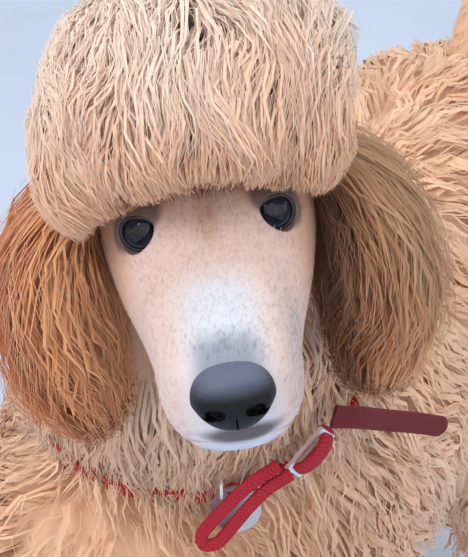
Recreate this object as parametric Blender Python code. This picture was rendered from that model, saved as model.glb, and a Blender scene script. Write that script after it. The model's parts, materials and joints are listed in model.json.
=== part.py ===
"""A young standard poodle, standing, with its head turned up and to its left, in a red collar with a tag.

Metres, +Z up. The dog faces -Y, its left side is +X, and its paws stand on Z 0.
The body is made in dog space, the head in head space, with its origin midway between the eyes.
"""

import math
import random

import bmesh
import bpy
from mathutils import Euler, Matrix, Vector
from mathutils.bvhtree import BVHTree

# Driving dimensions
GAP = 0.0003
BODY_COAT = 0.042
NECK_COAT = 0.050
LEG_COAT = 0.032
POMPON_RADIUS = 0.068
EYE_SPACING = 0.0556
EYE_RADIUS = 0.0112
NOSE_WIDTH = 0.034
PAW_LENGTH = 0.078
PAW_WIDTH = 0.052
STRAP_WIDTH = 0.0125
STRAP_THICKNESS = 0.0026
LOOP_WIDTH = 0.0065
LOOP_THICKNESS = 0.0036
SLIDE_LENGTH, SLIDE_WIDTH, SLIDE_WIRE = 0.0290, 0.0130, 0.0024
TAG_RADIUS = 0.0135
TAG_THICKNESS = 0.0015
TAG_HOLE = 0.0020
RING_RADIUS = 0.0055
RING_WIRE = 0.0008

# The curly coat: a core under rounded clumps set close, each spacing the least way between two of them
CORE_SHARE = 0.45
BODY_SPACING = 0.078
NECK_SPACING = 0.064
TOPKNOT_SPACING = 0.052
LEG_SPACING = 0.058
POMPON_SPACING = 0.034
POMPON_CORE = 0.50
POMPON_SPREAD = 1.25
DOWN_AND_BACK = Vector((0, 0.4, -1))
SWEPT_BACK = Vector((0, 0.5, 0.2))
CLUMP_SPREAD = 0.74
CLUMP_SINK = 0.40
CLUMP_SIDES = 5
CLUMP_LEAN = 0.30
CLUMP_RINGS = ((0.62, 0.78),)
LONGEST = 1.3
SLIVER = 0.009
FACE_TURN = 0.75

# The ears' long hair: flat locks in tiers round a flap, as (start along the ear, first angle, how many)
LOCK_TIERS = ((0.04, -10, 4), (0.50, -35, 5))
LOCK_STEP = 60
LOCK_RUN = 0.62
LOCK_WIDTH = 0.044
LOCK_THICKNESS = 0.0075
LOCK_WAVE = 0.0035
LOCK_EDGE = 0.35
LOCK_TAPER = (0.80, 1.0, 0.92, 0.62)
LOCK_RISE = (0.35, 0.72, 0.86, 0.88, 0.80)
LOCK_END = 1.13
FLAP_SHARE = (1.0, 0.86, 0.50, 0.44, 0.40, 0.34)
EAR_CUP = ((0.058, 0.040, -0.018), (0.010, 0.017, 0.024))

# How the head is carried: turned to the left, nose up, tilted
HEAD_YAW, HEAD_PITCH, HEAD_ROLL = 34.5, -9.7, -6.8
HEAD_PIVOT = Vector((0.020, -0.055, 0.705))
PIVOT_IN_HEAD = Vector((0.0, 0.105, -0.020))

# The collar: a ring sunk in the neck's coat, with its loop, tail, slide and tag on the dog's left front
COLLAR_HEIGHT = 0.586
COLLAR_SHARE = 0.82
SLIDE_AT = Vector((0.1065, -0.0905, 0.5780))
SLIDE_ALONG = Vector((0.356, 0.680, 0.640))
SLIDE_OUT = Vector((0.883, -0.469, 0.007))
STRAP_TAIL = (
    (0.1135, -0.0785, 0.5965),
    (0.1225, -0.0640, 0.5885),
    (0.1300, -0.0440, 0.5740),
    (0.1390, -0.0225, 0.5590),
    (0.1490, -0.0010, 0.5430),
)
TAIL_FACING = Vector((0.70, -0.60, 0.35))
LOOP = (
    (0.0985, -0.1105, 0.5810),
    (0.0912, -0.1215, 0.5762),
    (0.0835, -0.1290, 0.5665),
    (0.0715, -0.1375, 0.5460),
    (0.0692, -0.1405, 0.5400),
    (0.0715, -0.1410, 0.5350),
    (0.0765, -0.1375, 0.5355),
    (0.0795, -0.1345, 0.5395),
    (0.0905, -0.1270, 0.5610),
    (0.0975, -0.1185, 0.5710),
    (0.1045, -0.1075, 0.5750),
)
LOOP_FACING = Vector((0.40, -0.69, 0.60))
TAG_AT = Vector((0.0800, -0.1225, 0.5500))
TAG_FACING = Vector((0.50, -0.75, 0.30))
TAG_HANG = Vector((-0.42, 0.05, 0.82))
RING_AT = Vector((0.0752, -0.1295, 0.5690))
RING_AXIS = Vector((0.866, 0.500, 0.0))

# The planes that part the neck from the torso and the head from the neck, as (point, normal)
NECK_BASE = (Vector((0.0, -0.020, 0.548)), Vector((0.02, -0.30, 0.95)))
NECK_TOP = (Vector((0.016, -0.052, 0.668)), Vector((0.05, -0.10, 1.0)))
ELBOW_HEIGHT = 0.288
ELBOW_INSIDE, ELBOW_REACH = 0.018, 0.10
STIFLE_HEIGHT = 0.238
FACE_RIDGE, FACE_FALL, FACE_BACK = 0.018, 0.26, 0.066
SIGHT_FROM, SIGHT_ANGLE = -0.006, 48
ANKLE_CLEAR = 0.078
THIGH_FRONT, THIGH_INSIDE = 0.168, 0.001
THIGH_CUT_HEIGHT, THIGH_CUT_SLOPE = 0.362, 1.04

# Bare body as (x, y, z, half width, half depth)
TORSO = (
    (0, -0.118, 0.436, 0.066, 0.084),
    (0, -0.082, 0.438, 0.088, 0.110),
    (0, -0.035, 0.436, 0.098, 0.122),
    (0, 0.025, 0.434, 0.102, 0.124),
    (0, 0.085, 0.440, 0.100, 0.118),
    (0, 0.145, 0.450, 0.093, 0.106),
    (0, 0.205, 0.461, 0.086, 0.094),
    (0, 0.265, 0.466, 0.084, 0.088),
    (0, 0.325, 0.466, 0.082, 0.084),
    (0, 0.375, 0.464, 0.068, 0.072),
)
SHOULDER = ((0.078, -0.035, 0.430), (0.068, 0.088, 0.122))
HAUNCH = ((0.070, 0.298, 0.450), (0.070, 0.092, 0.100))
NECK = (
    (0.000, 0.005, 0.470, 0.078, 0.090),
    (0.002, -0.022, 0.545, 0.068, 0.078),
    (0.008, -0.042, 0.605, 0.058, 0.064),
    (0.016, -0.054, 0.655, 0.048, 0.052),
    (0.022, -0.060, 0.695, 0.034, 0.036),
)
FORELEG = (
    (0.078, 0.000, 0.400, 0.030, 0.040),
    (0.082, 0.006, 0.330, 0.031, 0.040),
    (0.082, 0.006, 0.270, 0.029, 0.033),
    (0.080, 0.000, 0.200, 0.025, 0.028),
    (0.078, -0.005, 0.135, 0.024, 0.026),
    (0.077, -0.010, 0.075, 0.021, 0.024),
)
HINDLEG = (
    (0.052, 0.300, 0.480, 0.046, 0.062),
    (0.068, 0.288, 0.430, 0.050, 0.074),
    (0.080, 0.270, 0.360, 0.044, 0.064),
    (0.086, 0.272, 0.290, 0.036, 0.048),
    (0.088, 0.303, 0.225, 0.029, 0.035),
    (0.087, 0.346, 0.178, 0.024, 0.028),
    (0.086, 0.368, 0.135, 0.023, 0.026),
    (0.085, 0.368, 0.075, 0.020, 0.022),
)
TAIL = (
    (0, 0.352, 0.515, 0.022, 0.022),
    (0, 0.398, 0.568, 0.019, 0.019),
    (0, 0.420, 0.628, 0.016, 0.016),
    (0, 0.430, 0.700, 0.013, 0.013),
)
POMPON_CENTRE = Vector((0, 0.434, 0.738))
FOREPAW_AT = Vector((0.077, -0.022, 0))
HINDPAW_AT = Vector((0.085, 0.356, 0))

# Bare head as (y, middle z, half width, half height, squareness)
HEAD = (
    (-0.103, -0.0310, 0.0180, 0.0195, 2.3),
    (-0.096, -0.0325, 0.0240, 0.0255, 2.4),
    (-0.080, -0.0325, 0.0280, 0.0280, 2.5),
    (-0.055, -0.0315, 0.0315, 0.0285, 2.5),
    (-0.030, -0.0305, 0.0360, 0.0315, 2.4),
    (-0.010, -0.0280, 0.0410, 0.0360, 2.3),
    (0.010, -0.0250, 0.0455, 0.0420, 2.2),
    (0.035, -0.0190, 0.0490, 0.0475, 2.2),
    (0.060, -0.0160, 0.0500, 0.0500, 2.1),
    (0.085, -0.0120, 0.0480, 0.0460, 2.1),
    (0.108, -0.0080, 0.0400, 0.0370, 2.0),
    (0.122, -0.0060, 0.0250, 0.0230, 2.0),
)
# Swellings and hollows of the face as (x, y, z, reach, push), the same on both sides
FACE_FORMS = (
    (0.027, 0.004, 0.018, 0.014, 0.0035),
    (0.044, 0.026, -0.008, 0.020, 0.0025),
    (0.026, -0.022, -0.010, 0.016, -0.0022),
    (0.025, -0.082, -0.040, 0.016, 0.0015),
    (0.012, -0.060, 0.000, 0.012, -0.0008),
)
TOPKNOT = (
    (0, -0.016, 0.040, 0.050, 0.028),
    (0, 0.004, 0.048, 0.074, 0.048),
    (0, 0.040, 0.054, 0.084, 0.068),
    (0, 0.085, 0.050, 0.088, 0.076),
    (0, 0.125, 0.032, 0.084, 0.078),
    (0, 0.160, 0.004, 0.066, 0.064),
)
CROWN = Vector((0, 0.058, 0.130))
EAR = (
    (0.036, 0.050, 0.012, 0.020, 0.010),
    (0.058, 0.048, 0.010, 0.034, 0.018),
    (0.076, 0.044, -0.014, 0.052, 0.028),
    (0.081, 0.038, -0.044, 0.062, 0.034),
    (0.077, 0.034, -0.076, 0.056, 0.034),
    (0.070, 0.030, -0.098, 0.038, 0.026),
)

EYE_CENTRE = Vector((EYE_SPACING / 2, 0.0075, 0.0))
EYE_TURN, EYE_RISE = 20, 6
EYE_OPENING = (0.0100, 0.0090, 0.0086)
LID = 0.0022
NOSE_CENTRE = Vector((0, -0.1075, -0.0225))
NOSE_RADII = Vector((NOSE_WIDTH / 2, 0.0125, 0.0130))
# Each nostril's hole and the slit beside it, as (place from the nose's centre, radii)
NOSTRIL = ((0.0072, -0.0135, -0.0035), (0.0034, 0.0070, 0.0028))
NOSTRIL_SLIT = ((0.0122, -0.0098, -0.0058), (0.0046, 0.0050, 0.0012))
LIP_FRONT, LIP_CORNER = -0.104, -0.030
LIP_DROP, LIP_SAG = 0.0150, 0.0022
LIP_CUT = (0.0013, 0.0011)

# Paws: the pad's body, the toes from the middle of the paw as (across, ahead), and the pastern above
PAW_RADII, PAW_RISE = (PAW_WIDTH * 0.44, PAW_LENGTH * 0.36, 0.022), 0.019
TOES = ((-0.0175, -0.020), (-0.0062, -0.031), (0.0062, -0.031), (0.0175, -0.020))
TOE_RADII, TOE_RISE = (0.0076, 0.0165, 0.0135), 0.0115
PASTERN = (
    (0, -0.002, 0.020, 0.018, 0.018),
    (0, 0.006, 0.050, 0.016, 0.018),
    (0, 0.010, 0.070, 0.014, 0.016),
)
CLAW = (
    (0, -0.0060, 0.0115, 0.0028, 0.0032),
    (0, -0.0160, 0.0095, 0.0020, 0.0024),
    (0, -0.0205, 0.0045, 0.0008, 0.0009),
)

# How the forms are made: clearances of the cutters, and the sides and rings of the round forms
CUT = 2 * GAP
EAR_CUT = 3.5 * GAP
OPEN = 0.03
FAR = 0.3
CAP_REACH = 0.8
ROUND_CAP = (math.radians(35), math.radians(65))
LEG_CAP = (math.radians(50),)
PLAIN_CAP = ()
COLLAR_SIDES = 28
RING_SIDES, WIRE_SIDES = 14, 5
SKIN_SIDES, SKIN_COUNT = 26, 18
TAG_SIDES = 28
SIDES = (("left", 1), ("right", -1))

HEAD_MATRIX = (
    Matrix.Translation(HEAD_PIVOT)
    @ Euler([math.radians(a) for a in (0, 0, HEAD_YAW)]).to_matrix().to_4x4()
    @ Euler([math.radians(a) for a in (HEAD_PITCH, 0, 0)]).to_matrix().to_4x4()
    @ Euler([math.radians(a) for a in (0, HEAD_ROLL, 0)]).to_matrix().to_4x4()
    @ Matrix.Translation(-PIVOT_IN_HEAD)
)


def clear_scene():
    for thing in list(bpy.data.objects):
        bpy.data.objects.remove(thing, do_unlink=True)


def finish_of(name, colour, roughness, metallic=0.0):
    made = bpy.data.materials.new(name)
    made.use_nodes = True
    shader = made.node_tree.nodes["Principled BSDF"]
    shader.inputs["Base Color"].default_value = (*colour, 1)
    shader.inputs["Roughness"].default_value = roughness
    shader.inputs["Metallic"].default_value = metallic
    return made


def object_of(name, bm, matrix=None, finish=None):
    """The bmesh as a linked object, its faces pointing out."""
    bmesh.ops.recalc_face_normals(bm, faces=bm.faces)
    mesh = bpy.data.meshes.new(name)
    bm.to_mesh(mesh)
    bm.free()
    made = bpy.data.objects.new(name, mesh)
    bpy.context.scene.collection.objects.link(made)
    if matrix is not None:
        made.matrix_world = matrix
    if finish is not None:
        mesh.materials.append(finish)
    return made


def smooth_run(stations, count):
    """The stations resampled along a Catmull-Rom curve through them."""
    rows = [stations[0], *stations, stations[-1]]
    spans = len(stations) - 1
    run = []
    for i in range(count):
        at = i * spans / (count - 1)
        span = min(int(at), spans - 1)
        t = at - span
        a, b, c, d = rows[span : span + 4]
        run.append(
            tuple(
                0.5
                * (2 * q + (r - p) * t + (2 * p - 5 * q + 4 * r - s) * t * t + (3 * q - p - 3 * r + s) * t**3)
                for p, q, r, s in zip(a, b, c, d)
            )
        )
    return run


def ring_of(centre, across, depth, half_width, half_depth, sides, power=2.0):
    points = []
    for i in range(sides):
        angle = 2 * math.pi * (i + 0.5) / sides
        c, s = math.cos(angle), math.sin(angle)
        reach = (abs(c) ** power + abs(s) ** power) ** (-1 / power)
        points.append(centre + across * (c * reach * half_width) + depth * (s * reach * half_depth))
    return points


def skin_rings(rings, first_pole, last_pole):
    """A closed mesh over rings of points, with a pole at each end."""
    bm = bmesh.new()
    loops = [[bm.verts.new(p) for p in ring] for ring in rings]
    poles = [bm.verts.new(first_pole), bm.verts.new(last_pole)]
    sides = len(loops[0])
    for low, high in zip(loops, loops[1:]):
        for i in range(sides):
            j = (i + 1) % sides
            bm.faces.new((low[i], low[j], high[j], high[i]))
    for loop, pole in ((loops[0], poles[0]), (loops[-1], poles[1])):
        for i in range(sides):
            bm.faces.new((loop[i], loop[(i + 1) % sides], pole))
    return bm


def cap_rings(ring, centre, way, reach, angles):
    """The ring drawn in and moved out along a quarter circle, to round off the end of a tube."""
    rings = []
    for angle in angles:
        drawn, out = math.cos(angle), way * (reach * math.sin(angle))
        rings.append([centre + (p - centre) * drawn + out for p in ring])
    return rings


def tube(stations, sides, count, grow=0.0, power=2.0, across=Vector((1, 0, 0)), caps=ROUND_CAP):
    """A limb or trunk through stations of (x, y, z, half width, half depth), grown by the coat's depth."""
    run = smooth_run(stations, count)
    centres = [Vector(s[:3]) for s in run]
    rings = []
    for i, (at, station) in enumerate(zip(centres, run)):
        along = (centres[min(i + 1, count - 1)] - centres[max(i - 1, 0)]).normalized()
        wide = (across - along * across.dot(along)).normalized()
        deep = along.cross(wide)
        rings.append(ring_of(at, wide, deep, station[3] + grow, station[4] + grow, sides, power))
    ends = []
    for here, inner in ((0, 1), (-1, -2)):
        way = (centres[here] - centres[inner]).normalized()
        reach = (min(run[here][3:5]) + grow) * CAP_REACH
        ends.append((cap_rings(rings[here], centres[here], way, reach, caps), centres[here] + way * reach))
    (first, first_pole), (last, last_pole) = ends
    return skin_rings(first[::-1] + rings + last, first_pole, last_pole)


def ball(centre, radii, subdivisions=2):
    bm = bmesh.new()
    bmesh.ops.create_icosphere(bm, subdivisions=subdivisions, radius=1)
    bmesh.ops.scale(bm, vec=Vector(radii), verts=bm.verts)
    bmesh.ops.translate(bm, vec=Vector(centre), verts=bm.verts)
    return bm


def mirrored(stations, side):
    return tuple((s[0] * side, *s[1:]) for s in stations)


def join_pieces(target, pieces, operation="UNION", solver="MANIFOLD"):
    """Joins the pieces to the target, or cuts them from it, and removes them."""
    group = bpy.data.collections.new("pieces")
    bpy.context.scene.collection.children.link(group)
    for piece in pieces:
        for owner in list(piece.users_collection):
            owner.objects.unlink(piece)
        group.objects.link(piece)
    step = target.modifiers.new(operation, "BOOLEAN")
    step.operation = operation
    step.solver = solver
    step.operand_type = "COLLECTION"
    step.collection = group
    apply_modifiers(target)
    for piece in pieces:
        bpy.data.objects.remove(piece, do_unlink=True)
    bpy.data.collections.remove(group)


def crosses_itself(bm):
    tree = BVHTree.FromBMesh(bm)
    bm.faces.ensure_lookup_table()
    corners = [{v.index for v in face.verts} for face in bm.faces]
    return any(not corners[a] & corners[b] for a, b in tree.overlap(tree))


def stays_true(face, ends, place):
    """Whether a triangle keeps facing its way when the ends of a short edge merge at a place."""
    corners = [place if v in ends else v.co for v in face.verts]
    normal = (corners[1] - corners[0]).cross(corners[2] - corners[0])
    return normal.length > 1e-9 and normal.normalized().dot(face.normal) > FACE_TURN


def merge_short_edges(bm, shortest):
    """Merges the ends of short edges, one at a time, where the surface stays closed and true."""
    for edge in sorted(bm.edges, key=lambda edge: edge.calc_length()):
        if not edge.is_valid or edge.calc_length() > shortest:
            continue
        ends = set(edge.verts)
        first, second = edge.verts
        around = [{spoke.other_vert(end) for spoke in end.link_edges} for end in (first, second)]
        if len(around[0] & around[1]) != 2:
            continue
        moved = [face for face in {*first.link_faces, *second.link_faces} if not ends <= set(face.verts)]
        for place in ((first.co + second.co) / 2, first.co.copy(), second.co.copy()):
            if all(stays_true(face, ends, place) for face in moved):
                bmesh.ops.pointmerge(bm, verts=list(ends), merge_co=place)
                for face in moved:
                    if face.is_valid:
                        face.normal_update()
                break


def fuse(target, pieces, shortest=SLIVER):
    """Joins the pieces to the target and takes out the slivers along their joints."""
    join_pieces(target, pieces)
    for share in (1, 0.6, 0.35):
        bm = bmesh.new()
        bm.from_mesh(target.data)
        bmesh.ops.triangulate(bm, faces=bm.faces)
        for _ in range(2):
            merge_short_edges(bm, shortest * share)
        bm.verts.index_update()
        true = all(len(edge.link_faces) == 2 for edge in bm.edges) and not crosses_itself(bm)
        if true:
            bm.to_mesh(target.data)
        bm.free()
        if true:
            break


def apply_modifiers(target):
    bpy.context.view_layer.update()
    graph = bpy.context.evaluated_depsgraph_get()
    mesh = bpy.data.meshes.new_from_object(target.evaluated_get(graph))
    old = target.data
    target.modifiers.clear()
    target.data = mesh
    bpy.data.meshes.remove(old)


def keep_largest(target):
    """Drops all but the largest closed surface of the node."""
    bm = bmesh.new()
    bm.from_mesh(target.data)
    bmesh.ops.remove_doubles(bm, verts=bm.verts, dist=1e-6)
    left = set(bm.faces)
    islands = []
    while left:
        island, todo = set(), [left.pop()]
        while todo:
            face = todo.pop()
            island.add(face)
            near = {f for e in face.edges for f in e.link_faces} & left
            left -= near
            todo.extend(near)
        islands.append(island)
    islands.sort(key=lambda faces: sum(f.calc_area() for f in faces))
    for island in islands[:-1]:
        bmesh.ops.delete(bm, geom=list(island), context="FACES")
    loose = [v for v in bm.verts if not v.link_faces]
    bmesh.ops.delete(bm, geom=loose, context="VERTS")
    bm.to_mesh(target.data)
    bm.free()


def spots_on(forms, spacing, draw, keep, first):
    """Places spread evenly over the outside of several forms, each as a point with its normal."""
    trees = [BVHTree.FromBMesh(form) for form in forms]
    spots = []
    for wanted in first:
        near = min((tree.find_nearest(wanted) for tree in trees), key=lambda hit: hit[3])
        spots.append((near[0], near[1]))
    faces = [(owner, face) for owner, form in enumerate(forms) for face in form.faces]
    areas = [face.calc_area() for _, face in faces]
    tries = int(sum(areas) / spacing**2 * 60)
    for owner, face in draw.choices(faces, areas, k=tries):
        a, b, c = (v.co for v in face.verts)
        u, v = math.sqrt(draw.random()), draw.random()
        point = a * (1 - u) + b * (u * (1 - v)) + c * (u * v)
        if not keep(point) or any((point - p).length < spacing for p, _ in spots):
            continue
        others = (tree.find_nearest(point) for i, tree in enumerate(trees) if i != owner)
        if all((point - hit[0]).dot(hit[1]) > 0 for hit in others):
            spots.append((point, face.normal.copy()))
    return spots


def clump(at, normal, radius, height, hang, draw):
    """A rounded clump of curls: a low dome that leans the way the coat lies, its root sunk in the core."""
    axis = (normal + (hang - normal * hang.dot(normal)) * CLUMP_LEAN).normalized()
    wide = normal.orthogonal().normalized()
    deep = normal.cross(wide)
    sink = radius * CLUMP_SINK
    outline = []
    for i in range(CLUMP_SIDES):
        angle = 2 * math.pi * (i + draw.uniform(-0.15, 0.15)) / CLUMP_SIDES
        reach = radius * draw.uniform(0.92, 1.10)
        outline.append(wide * (math.cos(angle) * reach) + deep * (math.sin(angle) * reach))
    rings = [[at - normal * sink + p for p in outline]]
    for rise, share in CLUMP_RINGS:
        rings.append([at + axis * (rise * height) + p * share for p in outline])
    return skin_rings(rings, at - normal * (sink * 1.2), at + axis * height)


def clumps_on(forms, outer_forms, coat, spacing, keep, seed, first=(), hang=DOWN_AND_BACK, spread=1.0):
    """Clumps set close over the core's forms, as high as the forms of the coat's outside."""
    for form in (*forms, *outer_forms):
        bmesh.ops.triangulate(form, faces=form.faces)
        bmesh.ops.recalc_face_normals(form, faces=form.faces)
    draw = random.Random(seed)
    outside = [BVHTree.FromBMesh(form) for form in outer_forms]
    clumps = []
    for at, normal in spots_on(forms, spacing, draw, keep, first):
        reaches = [tree.ray_cast(at, normal)[3] or 0.0 for tree in outside]
        height = min(max(reaches), coat * LONGEST) * draw.uniform(0.95, 1.06)
        radius = spacing * CLUMP_SPREAD * spread * draw.uniform(0.92, 1.10)
        clumps.append(object_of("clump", clump(at, normal, radius, height, hang, draw)))
    for form in outer_forms:
        form.free()
    return clumps


def everywhere(point):
    return True


def beyond(point, plane, margin=0.0):
    """Whether the point lies more than the margin past the plane."""
    return (point - plane[0]).dot(plane[1].normalized()) > margin


def half_space(plane, gap):
    """A large block on the far side of a plane of (point, normal), moved back by the gap."""
    point, normal = plane
    size = 1.5
    bm = bmesh.new()
    bmesh.ops.create_cube(bm, size=size)
    turn = normal.to_track_quat("Z", "Y").to_matrix().to_4x4()
    middle = point + normal.normalized() * (size / 2 + gap)
    bmesh.ops.transform(bm, matrix=Matrix.Translation(middle) @ turn, verts=bm.verts)
    return object_of("half_space", bm)


def block(low, high):
    bm = bmesh.new()
    bmesh.ops.create_cube(bm, size=1)
    size = [h - l for l, h in zip(low, high)]
    bmesh.ops.scale(bm, vec=Vector(size), verts=bm.verts)
    bmesh.ops.translate(bm, vec=(Vector(low) + Vector(high)) / 2, verts=bm.verts)
    return object_of("block", bm)


def prism(outline, start, end, matrix=None):
    """A block whose outline in X and Z runs along Y from start to end."""
    bm = bmesh.new()
    near = [bm.verts.new((x, start, z)) for x, z in outline]
    far = [bm.verts.new((x, end, z)) for x, z in outline]
    bm.faces.new(near)
    bm.faces.new(far)
    for i in range(len(outline)):
        j = (i + 1) % len(outline)
        bm.faces.new((near[i], near[j], far[j], far[i]))
    return object_of("prism", bm, matrix)


def flipped(plane):
    return plane[0], -plane[1]


def eye_axis(side):
    turn, rise = math.radians(EYE_TURN), math.radians(EYE_RISE)
    return Vector((math.sin(turn) * side, -math.cos(turn), math.sin(rise))).normalized()


def eye_matrix(side, out=0.0):
    """Head space with its Y along the way the eye looks, out from the eye's centre."""
    axis = eye_axis(side)
    centre = Vector((EYE_CENTRE.x * side, *EYE_CENTRE.yz)) + axis * out
    return Matrix.Translation(centre) @ axis.to_track_quat("-Y", "Z").to_matrix().to_4x4()


def shaped_face(point, middle):
    """The point pushed along its own section by the face's swellings and hollows."""
    push = 0.0
    for x, y, z, reach, amount in FACE_FORMS:
        away = (Vector((abs(point.x), point.y, point.z)) - Vector((x, y, z))).length / reach
        push += amount * math.exp(-away * away)
    return point + (point - middle).normalized() * push


def head_skin(grow=0.0):
    rings = []
    for y, z, wide, high, power in smooth_run(HEAD, SKIN_COUNT):
        middle = Vector((0, y, z))
        size = (wide + grow, high + grow)
        ring = ring_of(middle, Vector((1, 0, 0)), Vector((0, 0, 1)), *size, SKIN_SIDES, power)
        rings.append([shaped_face(p, middle) for p in ring])
    front = Vector((0, HEAD[0][0] - 0.006 - grow, HEAD[0][1]))
    back = Vector((0, HEAD[-1][0] + 0.008 + grow, HEAD[-1][1]))
    return skin_rings(rings, front, back)


def nose_leather(grow=0.0):
    """The nose: wide and square above, narrowing to the lip below."""
    bm = ball((0, 0, 0), (1, 1, 1), 3)
    for v in bm.verts:
        square = 1 / max(abs(v.co.x) ** 3 + abs(v.co.z) ** 3, 0.35) ** 0.12
        narrow = 1 - 0.30 * max(0.0, -v.co.z)
        v.co = Vector((v.co.x * square * narrow, v.co.y, v.co.z * square))
        v.co = Vector(v.co[i] * (NOSE_RADII[i] + grow) for i in range(3)) + NOSE_CENTRE
    return bm


def nape(grow=0.0):
    into_head = HEAD_MATRIX.inverted()
    top, low = (into_head @ Vector(NECK[i][:3]) for i in (4, 2))
    rows = ((0, 0.062, -0.016, 0.046, 0.046), (*top, 0.048, 0.050), (*low, 0.056, 0.058))
    return tube(rows, 14, 4, grow)


def lip_line(side):
    """A thin cutter along the mouth, from under the nose back to its corner."""
    points = []
    for y, z, wide, high, power in smooth_run(HEAD, 60):
        if not LIP_FRONT < y < LIP_CORNER:
            continue
        share = (y - LIP_FRONT) / (LIP_CORNER - LIP_FRONT)
        drop = LIP_DROP + LIP_SAG * math.sin(share * math.pi)
        across = (1 - min(0.999, drop / high) ** power) ** (1 / power) * wide
        points.append((side * across, y, z - drop, *LIP_CUT))
    front = (0.0, points[0][1] - 0.0085, points[0][2] - 0.0008, *LIP_CUT)
    bend = (side * 0.010, front[1] + 0.001, front[2], *LIP_CUT)
    return tube((front, bend, *points[1::3]), 5, 12)


def make_head(finish):
    head = object_of("head", head_skin(), HEAD_MATRIX, finish)
    added = [object_of("nape", nape(), HEAD_MATRIX)]
    for _, side in SIDES:
        lid = ball((0, 0, 0), [EYE_RADIUS + LID] * 3)
        added.append(object_of("lid", lid, HEAD_MATRIX @ eye_matrix(side)))
    join_pieces(head, added)
    cutters = [
        half_space(flipped(NECK_TOP), -GAP),
        object_of("nose_seat", nose_leather(CUT), HEAD_MATRIX),
    ]
    for _, side in SIDES:
        socket = ball((0, 0, 0), [EYE_RADIUS + CUT] * 3, 3)
        cutters.append(object_of("socket", socket, HEAD_MATRIX @ eye_matrix(side)))
        opening = ball((0, 0, 0), EYE_OPENING)
        cutters.append(object_of("opening", opening, HEAD_MATRIX @ eye_matrix(side, EYE_RADIUS)))
        cutters.append(object_of("ear_seat", ear_form(side, EAR_CUT), HEAD_MATRIX))
        cutters.append(object_of("lip_line", lip_line(side), HEAD_MATRIX))
    join_pieces(head, cutters, "DIFFERENCE")
    return head


def make_eye(name, side, finish):
    return object_of(name, ball((0, 0, 0), [EYE_RADIUS] * 3, 3), HEAD_MATRIX @ eye_matrix(side), finish)


def make_nose(finish):
    nose = object_of("nose", nose_leather(), HEAD_MATRIX, finish)
    cutters = []
    for _, side in SIDES:
        for (x, y, z), radii in (NOSTRIL, NOSTRIL_SLIT):
            hole = ball(NOSE_CENTRE + Vector((x * side, y, z)), radii)
            cutters.append(object_of("nostril", hole, HEAD_MATRIX))
    join_pieces(nose, cutters, "DIFFERENCE")
    return nose


def ear_form(side, grow=0.0, shares=(1, 1, 1, 1, 1, 1)):
    """The ear out to the tips of its hair, or the flap inside it where the shares are less than 1."""
    rows = [(*row[:3], row[3] * share, row[4] * share) for row, share in zip(mirrored(EAR, side), shares)]
    return tube(rows, 12, 7, grow, 2.2, Vector((0, 1, 0)))


def ear_point(side, along, angle, share):
    """A place in the ear: how far along it, at what angle round it, and how far out towards its outside."""
    run = smooth_run(mirrored(EAR, side), 61)
    i = min(59, int(along * 60))
    here, after = Vector(run[i][:3]), Vector(run[i + 1][:3])
    way = after - here
    past = (along * 60 - i) * way.length
    reach = min(run[-1][3:5]) * CAP_REACH
    left = math.sqrt(max(0.05, 1 - (past / reach) ** 2)) if along > 1 else 1.0
    way.normalize()
    wide = (Vector((0, 1, 0)) - way * way.y).normalized()
    deep = way.cross(wide) * side
    turn = math.radians(angle)
    out = wide * (math.cos(turn) * run[i][3]) + deep * (math.sin(turn) * run[i][4])
    return here + way * past + out * (share * left), way


def ear_lock(side, start, angle, draw):
    """A flat lock of the ear's hair, from its root in the flap out and down to its tip."""
    run = LOCK_RUN * draw.uniform(0.92, 1.06)
    size = draw.uniform(0.9, 1.1)
    wave = draw.uniform(0, 2 * math.pi)
    width = LOCK_WIDTH * (1 - LOCK_EDGE * abs(math.cos(math.radians(angle))))
    places = []
    for i, rise in enumerate(LOCK_RISE):
        along = min(start + run * i / (len(LOCK_RISE) - 1), LOCK_END)
        at, way = ear_point(side, along, angle, rise)
        middle, _ = ear_point(side, along, angle, 0.0)
        across = way.cross(at - middle).normalized()
        places.append((at + across * (LOCK_WAVE * math.sin(wave + 1.7 * i)), across))
    rings = []
    for i, taper in enumerate(LOCK_TAPER):
        at, across = places[i]
        way = (places[i + 1][0] - places[max(i - 1, 0)][0]).normalized()
        across = (across - way * across.dot(way)).normalized()
        half = across * (width * size * taper / 2)
        thick = across.cross(way) * (LOCK_THICKNESS * size * taper / 2)
        rings.append([at - half - thick, at + half - thick, at + half + thick, at - half + thick])
    root_way = (places[1][0] - places[0][0]).normalized()
    return skin_rings(rings, places[0][0] - root_way * LOCK_THICKNESS / 2, places[-1][0])


def make_ear(name, side, finish):
    """A hanging ear: its flap, hollow on the side of the head, and its long hair."""
    flap = ear_form(side, shares=FLAP_SHARE)
    bmesh.ops.triangulate(flap, faces=flap.faces)
    ear = object_of(name, flap, HEAD_MATRIX, finish)
    draw = random.Random(name)
    locks = []
    for start, first, count in LOCK_TIERS:
        for i in range(count):
            angle = first + LOCK_STEP * i + draw.uniform(-6, 6)
            lock = ear_lock(side, start + draw.uniform(-0.02, 0.02), angle, draw)
            bmesh.ops.triangulate(lock, faces=lock.faces)
            locks.append(object_of("lock", lock, HEAD_MATRIX))
    fuse(ear, locks, SLIVER / 2)
    join_pieces(ear, [object_of("outside", ear_form(side), HEAD_MATRIX)], "INTERSECT")
    (x, y, z), radii = EAR_CUP
    join_pieces(ear, [object_of("cup", ball((x * side, y, z), radii), HEAD_MATRIX)], "DIFFERENCE")
    return ear


def face_block():
    """What lies under the topknot's lower edge, in head space: a low roof over the eyes."""
    side_height = FACE_RIDGE - FACE_FALL * FAR
    outline = ((-FAR, -FAR), (FAR, -FAR), (FAR, side_height), (0, FACE_RIDGE), (-FAR, side_height))
    return prism(outline, -FAR, FACE_BACK, HEAD_MATRIX)


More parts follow.
